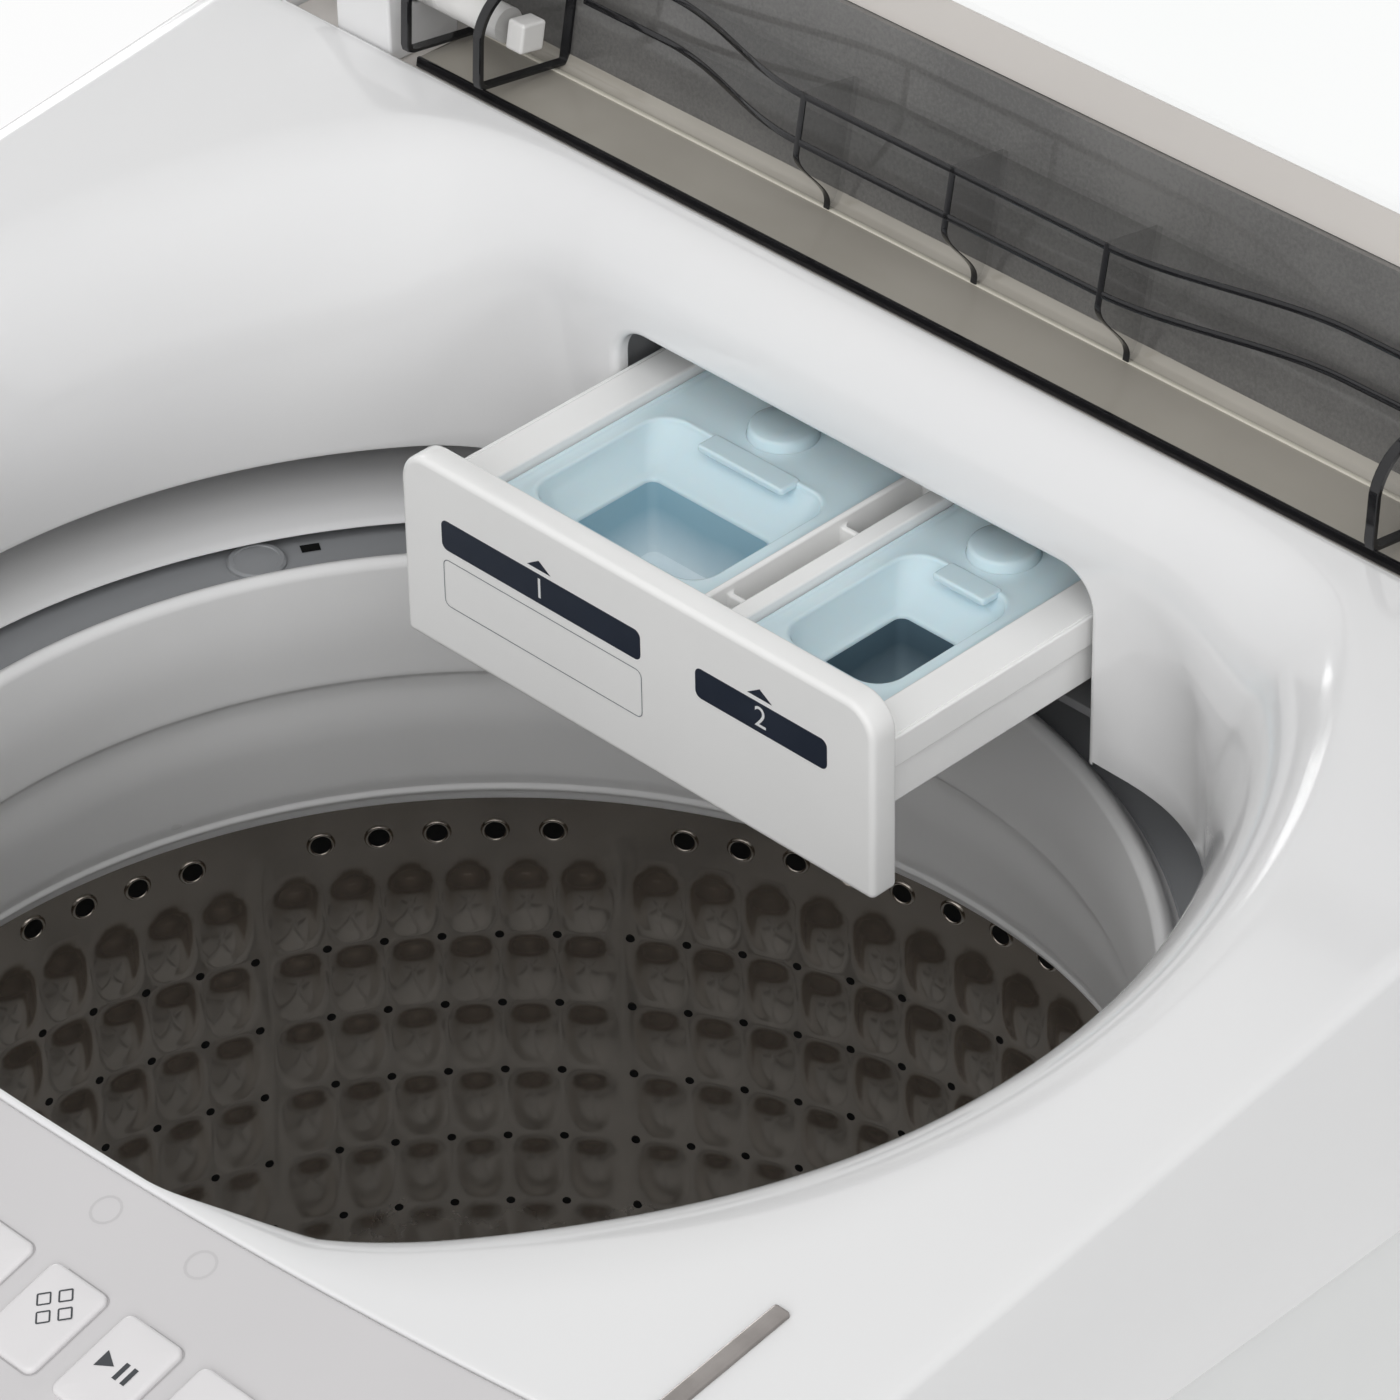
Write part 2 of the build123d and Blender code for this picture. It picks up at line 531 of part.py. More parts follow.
# Glass border: opaque printed band round the clear part of the glass.
b_w = 2 * (LID_HALF - 16.2)
b_h = LID_LENGTH - 18 - LID_REAR_BAND - 0.4
band = RectangleRounded(b_w, b_h, 3) - RectangleRounded(b_w - 2 * LID_BORDER, b_h - 2 * LID_BORDER, 8)
border = extrude(band, amount=0.7)
border = Pos(0, LID_SKIN, LID_REAR_BAND + 0.2 + b_h / 2) * Rot(90, 0, 0) * border
save(LEAN * border, "glass_border")

# Hinge shafts: white pins with a square end, turning with the lid.
hinge_y = LID_BEND_Y - HINGE_OUT * cos(radians(LID_LEAN_DEG)) + HINGE_UP * sin(radians(LID_LEAN_DEG))
hinge_z = LID_BEND_Z + HINGE_OUT * sin(radians(LID_LEAN_DEG)) + HINGE_UP * cos(radians(LID_LEAN_DEG))
for sx, side in ((-1, "left"), (1, "right")):
    head_x = LID_HALF - EAR_EDGE - EAR_PITCH - 4
    ends = sorted((sx * (head_x - 1), sx * (POST_X1 - 2)))
    shaft = bar_x(-HINGE_OUT, HINGE_UP, ends[0], ends[1], HINGE_PIN_R)
    heads = sorted((sx * (head_x - 7), sx * head_x))
    shaft += box(heads[0], heads[1], -HINGE_OUT - 6, -HINGE_OUT + 6, HINGE_UP - 6, HINGE_UP + 6)
    save(LEAN * shaft, "hinge_shaft_" + side)
    px = sorted((sx * POST_X0, sx * POST_X1))
    post = box(px[0], px[1], hinge_y - 14, hinge_y + 13, DECK_Z, hinge_z)
    post += bar_x(hinge_y - 0.5, hinge_z, px[0], px[1], 13.5)
    post -= bar_x(hinge_y, hinge_z, px[0] - 2, px[1] + 2, HINGE_PIN_R + 0.6)
    save(post, "hinge_post_" + side)

# Outer tub: moulded tub with four arms, each with a cup over a suspension spring.
tub_in = TUB_R - TUB_WALL
tub_wall = [(0, TUB_Z0), (TUB_R, TUB_Z0), (TUB_R, TUB_Z1), (tub_in, TUB_Z1), (tub_in, TUB_Z0 + 5), (0, TUB_Z0 + 5)]
tub = turned(tub_wall)
arm_turn = degrees(atan2(ROD_Y, ROD_X))
arm_reach = hypot(ROD_X, ROD_Y) + 5.2
for turn in (arm_turn, -arm_turn):
    arm = Pos(0, 0, 478) * Rot(0, 0, turn) * Box(2 * arm_reach, 30, 16)
    tub += arm - rod(0, 0, 400, 600, tub_in + 1)
for sx in (-1, 1):
    for sy in (-1, 1):
        tub += rod(sx * ROD_X, sy * ROD_Y, 436, 486, 18.5)
        tub -= rod(sx * ROD_X, sy * ROD_Y, 430, 480, 15.5)
        tub -= rod(sx * ROD_X, sy * ROD_Y, 420, 500, 6)
tub -= rod(0, 0, TUB_Z0 - 5, TUB_Z0 + 10, 32)
tub -= rod(DRAIN_X, DRAIN_Y, TUB_Z0 - 5, TUB_Z0 + 10, DRAIN_BORE)
save(tub, "outer_tub")

# Tub cover: ring clipped over the tub's rim, with a lip round the drum's mouth.
lip_r = RING_RIM_R + 13.9
tub_cover = turned([
    (lip_r, TUB_Z1 + 12.5), (lip_r + 1.5, TUB_Z1 + 15), (TUB_R - 24, TUB_Z1 + 12.8), (TUB_R + 4, TUB_Z1 + 6),
    (TUB_R + 4, TUB_Z1 - 12), (TUB_R + 0.4, TUB_Z1 - 12), (TUB_R + 0.4, TUB_Z1), (TUB_R - 4, TUB_Z1 + 0.2),
    (TUB_R - 26, TUB_Z1 + 10.2), (lip_r + 2.5, TUB_Z1 + 12.4),
])
save(tub_cover, "tub_cover")

# Gearcase: drive unit bolted under the tub, bored for the spin shaft.
gearcase = turned([
    (SPIN_R + 0.4, 300), (58, 300), (58, 366), (66, 366), (66, 372), (36, 372), (36, TUB_Z0),
    (31.6, TUB_Z0), (31.6, TUB_Z0 + 6), (SPIN_R + 0.4, TUB_Z0 + 6),
])
save(gearcase, "gearcase")

# Motor: can with end bells on a bracket hung from the tub's floor.
motor = rod(0, MOTOR_Y, 296, 384, 60) + rod(0, MOTOR_Y, 288, 296, 30)
motor += box(-70, 70, MOTOR_Y - 62, MOTOR_Y + 62, 384, 389)
for mx in (-62, 62):
    for my in (-52, 52):
        motor += rod(mx, MOTOR_Y + my, 388, TUB_Z0, 6)
motor -= rod(0, MOTOR_Y, 280, 380, 7.4)
save(motor, "motor")

# Motor pulley: small pulley on the motor's shaft.
small = rod(0, MOTOR_Y, 246, 266, PULLEY_SMALL_R) + rod(0, MOTOR_Y, 246, 249, 30)
small += rod(0, MOTOR_Y, 263, 266, 30) + rod(0, MOTOR_Y, 240, 372, 7)
save(small, "motor_pulley")

# Belt: loop round both pulleys.
small_pulley = Pos(0, MOTOR_Y)
outer_belt = make_hull([Circle(PULLEY_BIG_R + 7).edge(), (small_pulley * Circle(PULLEY_SMALL_R + 7)).edge()])
inner_belt = make_hull([Circle(PULLEY_BIG_R + 0.4).edge(), (small_pulley * Circle(PULLEY_SMALL_R + 0.4)).edge()])
save(extrude(Pos(0, 0, 250.5) * (outer_belt - inner_belt), amount=11), "drive_belt")

# Drain valve and its hose: valve under the tub's floor, hose to the outlet's flare.
valve_body = rod(DRAIN_X, DRAIN_Y, DRAIN_Z - 22, TUB_Z0, 30)
valve_body += rod(DRAIN_X, DRAIN_Y, TUB_Z0, TUB_Z0 + 4, DRAIN_BORE - 0.6)
valve_body += bar_y(DRAIN_X, DRAIN_Z, DRAIN_Y, DRAIN_Y + 44, 17)
valve_body -= bar_y(DRAIN_X, DRAIN_Z, DRAIN_Y + 10, DRAIN_Y + 50, 13)
save(valve_body, "drain_valve")
drain_hose = bar_y(DRAIN_X, DRAIN_Z, DRAIN_Y + 31, CAB_REAR_Y - 14, 19.5)
drain_hose -= bar_y(DRAIN_X, DRAIN_Z, DRAIN_Y + 30, CAB_REAR_Y, 17)
save(drain_hose, "drain_hose")

# Suspension: four rods hung from the corner plates, each with a spring on its lower plate.
NAMES = {(-1, -1): "front_left", (1, -1): "front_right", (-1, 1): "rear_left", (1, 1): "rear_right"}
for (sx, sy), name in NAMES.items():
    hanger = rod(sx * ROD_X, sy * ROD_Y, 404, 826, 4)
    hanger += rod(sx * ROD_X, sy * ROD_Y, 815, 826, 12)
    hanger += rod(sx * ROD_X, sy * ROD_Y, 398, 404, 13)
    save(hanger, "rod_" + name)
    save(tube(sx * ROD_X, sy * ROD_Y, 404, 480, 12.5, 9), "spring_" + name)

# Drum shell: stainless steel cylinder round the balance ring and the drum's base.
drum_in = DRUM_R - DRUM_WALL
drum = turned([(drum_in, DRUM_Z0), (DRUM_R, DRUM_Z0), (DRUM_R, TUB_Z1), (drum_in, TUB_Z1)])
save(drum, "drum_shell")

# Balance ring: closed plastic ring with a raised rim, a throat and a flared foot.
ring = turned([
    (RING_RIM_R - 2.5, RIM_Z - 2.0), (RING_RIM_R, RIM_Z), (RING_RIM_R + 3.0, RIM_Z - 3.0),
    (drum_in - 9, RIM_Z - 5), (drum_in - 0.3, RIM_Z - 14), (drum_in - 0.3, RING_FOOT_Z),
    (RING_FOOT_R, RING_FOOT_Z), (RING_FOOT_R - 9, RING_FOOT_Z + 14), (RING_THROAT_R + 2, RING_FOOT_Z + 44),
    (RING_THROAT_R, RIM_Z - 40.5), (RING_THROAT_R - 1.5, RIM_Z - 20),
])
plug_r = RING_RIM_R + 10.9
plug_turn = radians(154.1)
ring += rod(plug_r * cos(plug_turn), plug_r * sin(plug_turn), RIM_Z - 8, RIM_Z - 2.4, 7)
save(ring, "balance_ring")

# Drum base: ribbed floor with a raised hub, riveted to the shell.
drum_base = turned([
    (HUB_R + 0.2, 430), (60, 430), (60, 442), (drum_in - 0.3, 442), (drum_in - 0.3, 470), (drum_in - 6, 470),
    (drum_in - 10, 456), (drum_in - 57, 450), (60, 450), (40, 446), (HUB_R + 0.2, 446),
])
save(drum_base, "drum_base")

# Spin shaft: hollow shaft from the gearcase to the drum's base.
wash_bore = WASH_R + 0.4
spin_shaft = turned([
    (wash_bore, 310), (SPIN_R, 310), (SPIN_R, 418), (50, 418), (50, 430), (HUB_R, 430), (HUB_R, 444),
    (wash_bore, 444),
])
save(spin_shaft, "spin_shaft")

# Pulsator: dished disc with curved wings, and a cap over its fixing screw.
disc = turned([
    (0, 462), (PULSATOR_R - 8, 462), (PULSATOR_R, 468), (PULSATOR_R - 4, 472), (PULSATOR_R - 52, 466.5),
    (60, 470), (42, 482), (0, 484),
])
for k in range(6):
    tip = PULSATOR_R - 12
    wing = [(32, 466), (32, 492), (60, 494), (tip - 50, 488), (tip - 8, 476), (tip, 467)]
    face = make_face(Plane.XZ * Polyline(*wing, close=True))
    disc += Rot(0, 0, 60 * k) * (Pos(0, 8, 0) * extrude(face, amount=16))
disc -= rod(0, 0, 450, 474, WASH_R)
save(disc, "pulsator")
cap_profile = [(0, 484), (26, 484), (27, 488), (20, 496), (0, 499)]
disc_cap = turned(cap_profile)
save(disc_cap - disc, "pulsator_cap")

# Wash shaft and drive pulley: shaft through the spin shaft, with the large pulley below.
save(rod(0, 0, 236, 473.5, WASH_R), "wash_shaft")
big = rod(0, 0, 246, 266, PULLEY_BIG_R) + rod(0, 0, 246, 249, 80) + rod(0, 0, 263, 266, 80)
big -= tube(0, 0, 245, 258, 60, 24)
big += rod(0, 0, 240, 280, 20)
big -= rod(0, 0, 230, 290, WASH_R)
save(big, "drive_pulley")
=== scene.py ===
import bmesh
import bpy
import numpy as np
from mathutils import Matrix


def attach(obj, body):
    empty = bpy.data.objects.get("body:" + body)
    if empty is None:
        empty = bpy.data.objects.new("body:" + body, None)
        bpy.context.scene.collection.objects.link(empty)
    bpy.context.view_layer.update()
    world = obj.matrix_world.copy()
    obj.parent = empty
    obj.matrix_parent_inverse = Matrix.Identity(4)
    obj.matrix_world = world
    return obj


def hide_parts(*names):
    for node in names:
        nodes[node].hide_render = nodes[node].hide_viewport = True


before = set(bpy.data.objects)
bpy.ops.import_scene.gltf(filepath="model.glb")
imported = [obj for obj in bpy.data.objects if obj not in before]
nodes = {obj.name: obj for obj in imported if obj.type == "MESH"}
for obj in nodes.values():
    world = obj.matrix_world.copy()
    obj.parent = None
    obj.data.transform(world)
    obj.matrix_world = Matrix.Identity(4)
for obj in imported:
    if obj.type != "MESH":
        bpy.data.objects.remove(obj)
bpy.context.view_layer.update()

# Cabinet: one bent steel sheet for front and sides, with a flat sheet screwed on behind.
# Cold-rolled steel, with a baked white coat outside and bare zinc on the rear sheet.
# The coat is an even white with a faint orange peel, the zinc a cloudy grey metal.


def linear(code):
    """sRGB hex to linear: each channel is ((c + 0.055) / 1.055) to the power 2.4, or c / 12.92 when dark."""
    c = np.array([int(code[i:i + 2], 16) for i in (1, 3, 5)]) / 255
    return (*np.where(c <= 0.04045, c / 12.92, ((c + 0.055) / 1.055) ** 2.4).tolist(), 1.0)


def add(tree, kind, inputs=None, stops=(), **props):
    """Adds one shader node: props are its own settings, inputs maps a socket to a constant or to an output, and
    stops gives each stop of a colour ramp as its place and its hex tone."""
    node = tree.nodes.new("ShaderNode" + kind)
    for key, value in props.items():
        setattr(node, key, value)
    for number, (at, tone) in enumerate(stops):
        stop = node.color_ramp.elements[number]
        stop.position, stop.color = at, linear(tone)
    for socket, value in (inputs or {}).items():
        if isinstance(value, bpy.types.NodeSocket):
            tree.links.new(value, node.inputs[socket])
        else:
            node.inputs[socket].default_value = value
    return node


def finish(name, **sockets):
    """A new material: one principled shader with constant sockets, and the piece's Object coordinates."""
    material = bpy.data.materials.new(name)
    material.use_nodes = True
    tree = material.node_tree
    tree.nodes.clear()
    shader = add(tree, "BsdfPrincipled", {key.replace("_", " "): value for key, value in sockets.items()})
    add(tree, "OutputMaterial", {"Surface": shader.outputs["BSDF"]})
    return material, tree, shader, add(tree, "TexCoord").outputs["Object"]


def surfaced(name, light, dark, roughness, drift=90.0, grain=1.2, relief=0.01, spread=0.18, **sockets):
    """A plain moulded, cast or painted surface. The colour drifts between two close tones over `drift` mm,
    the gloss varies by `spread` over 20 mm, and the tool or spray texture is a relief of `grain` mm, coarser than
    the real one so that it shows."""
    material, tree, shader, place = finish(name, **sockets)
    cloud = add(tree, "TexNoise", {"Vector": place, "Scale": 1000 / drift, "Detail": 3.0})
    ramp = add(tree, "ValToRGB", {"Fac": cloud.outputs["Fac"]}, stops=((0.3, dark), (0.7, light)))
    tree.links.new(ramp.outputs["Color"], shader.inputs["Base Color"])
    sheen = add(tree, "TexNoise", {"Vector": place, "Scale": 1000 / 20, "Detail": 2.0})
    gloss = add(tree, "MapRange", {"Value": sheen.outputs["Fac"], "To Min": roughness * (1 - spread),
                                   "To Max": roughness * (1 + spread)})
    tree.links.new(gloss.outputs["Result"], shader.inputs["Roughness"])
    skin_grain = add(tree, "TexNoise", {"Vector": place, "Scale": 1000 / grain, "Detail": 2.0})
    bump = add(tree, "Bump", {"Height": skin_grain.outputs["Fac"], "Strength": 1.0, "Distance": relief / 1000})
    tree.links.new(bump.outputs["Normal"], shader.inputs["Normal"])
    return material


def dress(material, *names):
    """Gives CAD nodes their finish: the material takes every slot of their meshes."""
    for name in names:
        mesh_slots = nodes[name].material_slots
        if not mesh_slots:
            nodes[name].data.materials.append(material)
        for entry in mesh_slots:
            entry.material = material


baked_white = surfaced("baked white coat on steel sheet", "#eff0ef", "#eaebeb", 0.32, grain=2.2, relief=0.012)
zinc_sheet = surfaced("zinc coated steel sheet", "#aeb2b4", "#989da0", 0.42, drift=16, Metallic=0.85)
dress(baked_white, "cabinet")
dress(zinc_sheet, "rear_panel")

# Base frame and feet: a skirt that closes the cabinet below, screwed to its sheet, and four feet to level it.
# Grey polypropylene moulded in one piece; rubber pads on screwed stems.
# The skirt is matte and finely grained, the rubber dull and nearly black.
base_grey = surfaced("moulded grey polypropylene", "#a9acae", "#9fa2a5", 0.5, grain=0.9, relief=0.03)
foot_rubber = surfaced("moulded black rubber", "#2b2b2c", "#222223", 0.75, grain=0.8, relief=0.04)
dress(base_grey, "base_frame")
dress(foot_rubber, "foot_front_left", "foot_front_right", "foot_rear_left", "foot_rear_right")

# Suspension: four rods hung from the cabinet's corner plates, each with a spring under a cup of the tub.
# Drawn steel rods with pressed end plates; springs of oiled steel wire, which stand here as plain sleeves.
# The rods are bright with faint streaks, the springs darker and oily.
drawn_steel = surfaced("drawn steel rod", "#9a9c9e", "#84878a", 0.34, drift=12, Metallic=1.0)
spring_wire = surfaced("oiled spring steel wire", "#6b6d70", "#5a5c5f", 0.38, drift=8, Metallic=1.0)
CORNERS = ("front_left", "front_right", "rear_left", "rear_right")
dress(drawn_steel, *["rod_" + corner for corner in CORNERS])
dress(spring_wire, *["spring_" + corner for corner in CORNERS])

# Drive and water: gearcase, motor, pulleys, belt and drain valve under the tub, inlet valve and hoses at the rear.
# Die-cast aluminium, enamelled steel, nylon and rubber, bolted or clipped on; the shafts are turned steel.
# Castings look frosted, enamel and hoses dull, nylon a warm white, turned steel bright.
cast_alloy = surfaced("die cast aluminium", "#b3b5b6", "#9fa1a3", 0.48, drift=14, grain=0.9, relief=0.03,
                      Metallic=0.9)
motor_paint = surfaced("grey enamel on motor shell", "#5d6266", "#50555a", 0.4, drift=30)
valve_nylon = surfaced("moulded white nylon", "#e6e4dd", "#dcd9d1", 0.42, drift=40)
hose_rubber = surfaced("grey drain hose rubber", "#6d7073", "#606366", 0.6, grain=1.4, relief=0.05)
turned_steel = surfaced("turned steel shaft", "#b5b7b9", "#a2a5a8", 0.28, drift=10, Metallic=1.0)
dress(cast_alloy, "gearcase", "drive_pulley", "motor_pulley")
dress(motor_paint, "motor")
dress(valve_nylon, "inlet_valve", "drain_valve", "drain_outlet")
dress(hose_rubber, "inlet_hose", "drain_hose")
dress(foot_rubber, "drive_belt")
dress(turned_steel, "spin_shaft", "wash_shaft")

# Outer tub and its cover: the tub holds the water, and a ring clipped over its rim closes the gap round the drum.
# Moulded polypropylene, the ring's inner edge rolled under to a lip.
# The tub is a satin pale grey, the ring nearly white with a soft sheen.
tub_plastic = surfaced("moulded pale grey polypropylene", "#b7babb", "#adb0b1", 0.36, grain=1.0, relief=0.012)
cover_ring = surfaced("moulded pale polypropylene", "#efefef", "#e9e9ea", 0.3, grain=1.0, relief=0.01)
dress(tub_plastic, "outer_tub")


def placed(name, mesh, material, body):
    """Makes a mesh a piece of the object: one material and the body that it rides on."""
    mesh.materials.clear()
    mesh.materials.append(material)
    piece = bpy.data.objects.new(name, mesh)
    bpy.context.scene.collection.objects.link(piece)
    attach(piece, body)
    return piece


def skin(name, grids, material, body, sharp=32.0, closed=False):
    """One mesh from grids of points in mm, [u, v, xyz], whose quads join neighbours and look along the
    u-tangent crossed with the v-tangent. Doubles merge, so that seams and poles close; a closed shell has its
    normals made to look outwards; edges sharper than the angle stay crisp."""
    points, quads, start = [], [], 0
    for grid in grids:
        n_u, n_v = grid.shape[:2]
        index = start + np.arange(n_u * n_v).reshape(n_u, n_v)
        corners = [index[:-1, :-1], index[1:, :-1], index[1:, 1:], index[:-1, 1:]]
        quads.append(np.stack(corners, axis=-1).reshape(-1, 4))
        points.append(grid.reshape(-1, 3) / 1000)
        start += n_u * n_v
    mesh = bpy.data.meshes.new(name)
    mesh.from_pydata(np.concatenate(points).tolist(), [], np.concatenate(quads).tolist())
    shell = bmesh.new()
    shell.from_mesh(mesh)
    bmesh.ops.remove_doubles(shell, verts=shell.verts, dist=4e-6)
    if closed:
        bmesh.ops.recalc_face_normals(shell, faces=shell.faces)
    shell.to_mesh(mesh)
    shell.free()
    mesh.shade_smooth()
    mesh.set_sharp_from_angle(angle=np.radians(sharp))
    return placed(name, mesh, material, body)


def rounded(points, radius, steps=6):
    """A closed line with each corner swapped for a curve: a quadratic Bezier from `radius` before the corner
    to `radius` after it, but no further than 45% of either side. The first point is repeated at the end."""
    p = np.asarray(points, float)
    before, after = np.roll(p, 1, axis=0) - p, np.roll(p, -1, axis=0) - p
    long_b = np.linalg.norm(before, axis=1, keepdims=True)
    long_a = np.linalg.norm(after, axis=1, keepdims=True)
    reach = np.broadcast_to(np.asarray(radius, float), len(p))[:, None]
    cut = np.minimum(reach, 0.45 * np.minimum(long_b, long_a))
    t = np.linspace(0, 1, steps)[None, :, None]
    first, last = (p + before / long_b * cut)[:, None], (p + after / long_a * cut)[:, None]
    line = ((1 - t) ** 2 * first + 2 * t * (1 - t) * p[:, None] + t ** 2 * last).reshape(-1, p.shape[1])
    return np.vstack([line, line[:1]])


def lathe(profile, n=240):
    """A profile of (radius, height) turned about the drum's axis; it looks outwards where the profile climbs."""
    turn = np.linspace(0, 2 * np.pi, n + 1)[:, None]
    profile = np.asarray(profile, float)
    r, z = profile[None, :, 0], profile[None, :, 1]
    return np.stack([r * np.cos(turn), r * np.sin(turn), z + 0 * turn], axis=-1)


TUB_LIP = [(254, 826), (254, 846), (244, 854.5), (232, 857), (222, 856.2), (213.5, 853), (208.4, 849.4),
           (207, 847.8), (208.6, 847.2), (216, 849.8), (226, 852), (240, 848.6), (248, 840.5), (250.4, 838),
           (250.4, 826)]
TUB_LIP_R = [1, 6, 8, 10, 8, 6, 2, 0.6, 0.6, 6, 8, 5, 2, 0.4, 1]
lip_grid = lathe(rounded(TUB_LIP, TUB_LIP_R))
lip_ring = skin("tub_cover_ring", [lip_grid], cover_ring, "tub_body", closed=True)
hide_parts("tub_cover")

# Drum: stainless steel sheet rolled into a cylinder. Egg-shaped pillows are pressed inwards in rows, with a small
# hole at the corner between them, and one row of large holes with turned lips runs round above.
# The polished sheet mirrors the mouth and the floor, warm and a little hazy, and is worn dull near the floor.

# Angles in degrees: group A starts at GROUP_A in each third, and group B follows a plain strip.
CELLS_A, CELLS_B, SEAM_GAP = 6, 21, 1.2
CELLS = CELLS_A + CELLS_B
PITCH = (120 - 2 * SEAM_GAP) / CELLS
GROUP_A = 139.8 - 3 * PITCH
GROUP_B = CELLS_A * PITCH + SEAM_GAP
ROW_TOP, ROW_H, ROWS = 697.2, 27.2, 8
WALL_R, WALL_TOP, WALL_FOOT = 237.0, 752.0, 456.0
PER_CELL = 11


def drum_turns(per_cell):
    """Angles round the drum in degrees, and each one's place across its own cell from -0.5 to 0.5. A third of the
    drum has 6 cells, a plain strip, 21 cells and a plain strip; the strips have no cell."""
    cells = np.concatenate([np.arange(CELLS_A) * PITCH, GROUP_B + np.arange(CELLS_B) * PITCH])
    across = np.arange(per_cell) / per_cell
    inside = (cells[:, None] + across * PITCH).ravel()
    part = np.array([0, 0.35, 0.7])
    strips = np.concatenate([CELLS_A * PITCH + SEAM_GAP * part, CELLS * PITCH + SEAM_GAP * (1 + part)])
    angle = np.concatenate([inside, strips])
    place = np.concatenate([np.tile(across - 0.5, CELLS), np.full(len(strips), np.nan)])
    order = np.argsort(angle)
    third = angle[order]
    turns = GROUP_A + np.concatenate([third, third + 120, third + 240, [360]])
    return turns, np.concatenate([np.tile(place[order], 3), place[order][:1]])


turns, place_a = drum_turns(PER_CELL)
down = np.arange(PER_CELL) / PER_CELL
upper = np.linspace(WALL_TOP, ROW_TOP, 12)[:-1]
rows = (ROW_TOP - ROW_H * (np.arange(ROWS)[:, None] + down)).ravel()
lower = np.linspace(ROW_TOP - ROW_H * ROWS, WALL_FOOT, 5)
heights = np.concatenate([upper, rows, lower])
place_b = np.concatenate([np.full(len(upper), np.nan), np.tile(0.5 - down, ROWS), np.full(len(lower), np.nan)])

# A pillow is an egg, blunt end up. Its height is PILLOW times a power of 1 - |a / half width| ** 2.2 - |b / half
# height| ** n, where a and b are counted in cells from the egg's middle, and n and the power are larger above it.
PILLOW, EGG_WIDE, EGG_UP, EGG_DOWN, EGG_RAISED = 2.6, 0.48, 0.38, 0.62, 0.12
STRIP_BACK, STRIP_TOP = 0.25, ROW_TOP + 8
a, b = np.meshgrid(place_a, place_b - EGG_RAISED, indexing="ij")
with np.errstate(invalid="ignore"):
    egg = np.abs(a / EGG_WIDE) ** 2.2
    egg += np.abs(b / np.where(b > 0, EGG_UP, EGG_DOWN)) ** np.where(b > 0, 3.0, 2.4)
    press = PILLOW * np.clip(1 - egg, 0, 1) ** np.where(b > 0, 1.6, 1.5)
strip = np.isnan(place_a)[:, None] & (heights < STRIP_TOP)[None, :]
radius = WALL_R - np.nan_to_num(press) + np.where(strip, STRIP_BACK, 0.0)
turn = np.radians(turns)[:, None]
drum_grid = np.stack([radius * np.cos(turn), radius * np.sin(turn), heights + 0 * radius], axis=-1)

HAZE = 26.0
drum_steel, tree, shader, place = finish("pressed stainless steel sheet", Metallic=0.86, Anisotropic=0.3)
haze = add(tree, "TexNoise", {"Vector": place, "Scale": 1000 / HAZE, "Detail": 5.0, "Roughness": 0.65})
ramp = add(tree, "ValToRGB", {"Fac": haze.outputs["Fac"]}, stops=((0.3, "#aca298"), (0.72, "#b8aea4")))
tree.links.new(ramp.outputs["Color"], shader.inputs["Base Color"])
gloss = add(tree, "MapRange", {"Value": haze.outputs["Fac"], "To Min": 0.08, "To Max": 0.19})
depth = add(tree, "SeparateXYZ", {"Vector": place}).outputs["Z"]
dull = add(tree, "MapRange", {"Value": depth, "From Min": 0.50, "From Max": 0.67, "To Min": 0.2, "To Max": 0.0})
worn = add(tree, "Math", {0: gloss.outputs["Result"], 1: dull.outputs["Result"]}, operation="ADD")
tree.links.new(worn.outputs["Value"], shader.inputs["Roughness"])
drum = skin("drum_wall", [drum_grid], drum_steel, "drum_body", sharp=60)
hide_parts("drum_shell")

# Turned lips are buffed and catch the light as bright rings; the holes are dark discs just inside the wall, a painted
# shadow.
lip_steel = surfaced("polished edge of stainless steel", "#d8cfc4", "#cac1b6", 0.2, drift=6, Metallic=1.0)
hole_painted_shadow = surfaced("shadow inside a punched hole", "#0c0c0c", "#060606", 0.9, drift=5)
SMALL_HOLE = [(0, 0.25), (1.25, 0.25), (1.5, 0.0)]
LARGE_HOLE, LARGE_Z = [(0, 0.35), (3.3, 0.35)], 711.0
HOLE_LIP = [(3.2, 0.3), (3.4, 0.6), (3.8, 0.75), (4.2, 0.5), (4.6, 0.0)]


def round_drum(first_b, last_b):
    """Angles of the lines between cells, for all thirds: those inside group A, and the given ones of group B."""
    lines = np.concatenate([np.arange(1, CELLS_A) * PITCH, GROUP_B + np.arange(first_b, last_b + 1) * PITCH])
    return (GROUP_A + lines[:, None] + np.array([0, 120, 240])).ravel()


def wall_rings(angles, levels, profile, n):
    """Small turned shapes set on the drum's wall: each profile point is (radius about the hole, distance in from the
    wall). There is one grid for each hole, [ring, around], which looks to the drum's axis."""
    turn, z = np.meshgrid(np.radians(angles), levels, indexing="ij")
    turn, z = turn.ravel()[:, None, None], z.ravel()[:, None, None]
    spin = np.linspace(2 * np.pi, 0, n + 1)[None, None, :]
    profile = np.asarray(profile, float)
    r, inward = profile[None, :, 0, None], profile[None, :, 1, None]
    side, up = r * np.cos(spin), r * np.sin(spin)
    reach = WALL_R - inward
    x = reach * np.cos(turn) - side * np.sin(turn)
    y = reach * np.sin(turn) + side * np.cos(turn)
    return np.stack([x + 0 * up, y + 0 * up, z + up + 0 * x], axis=-1)


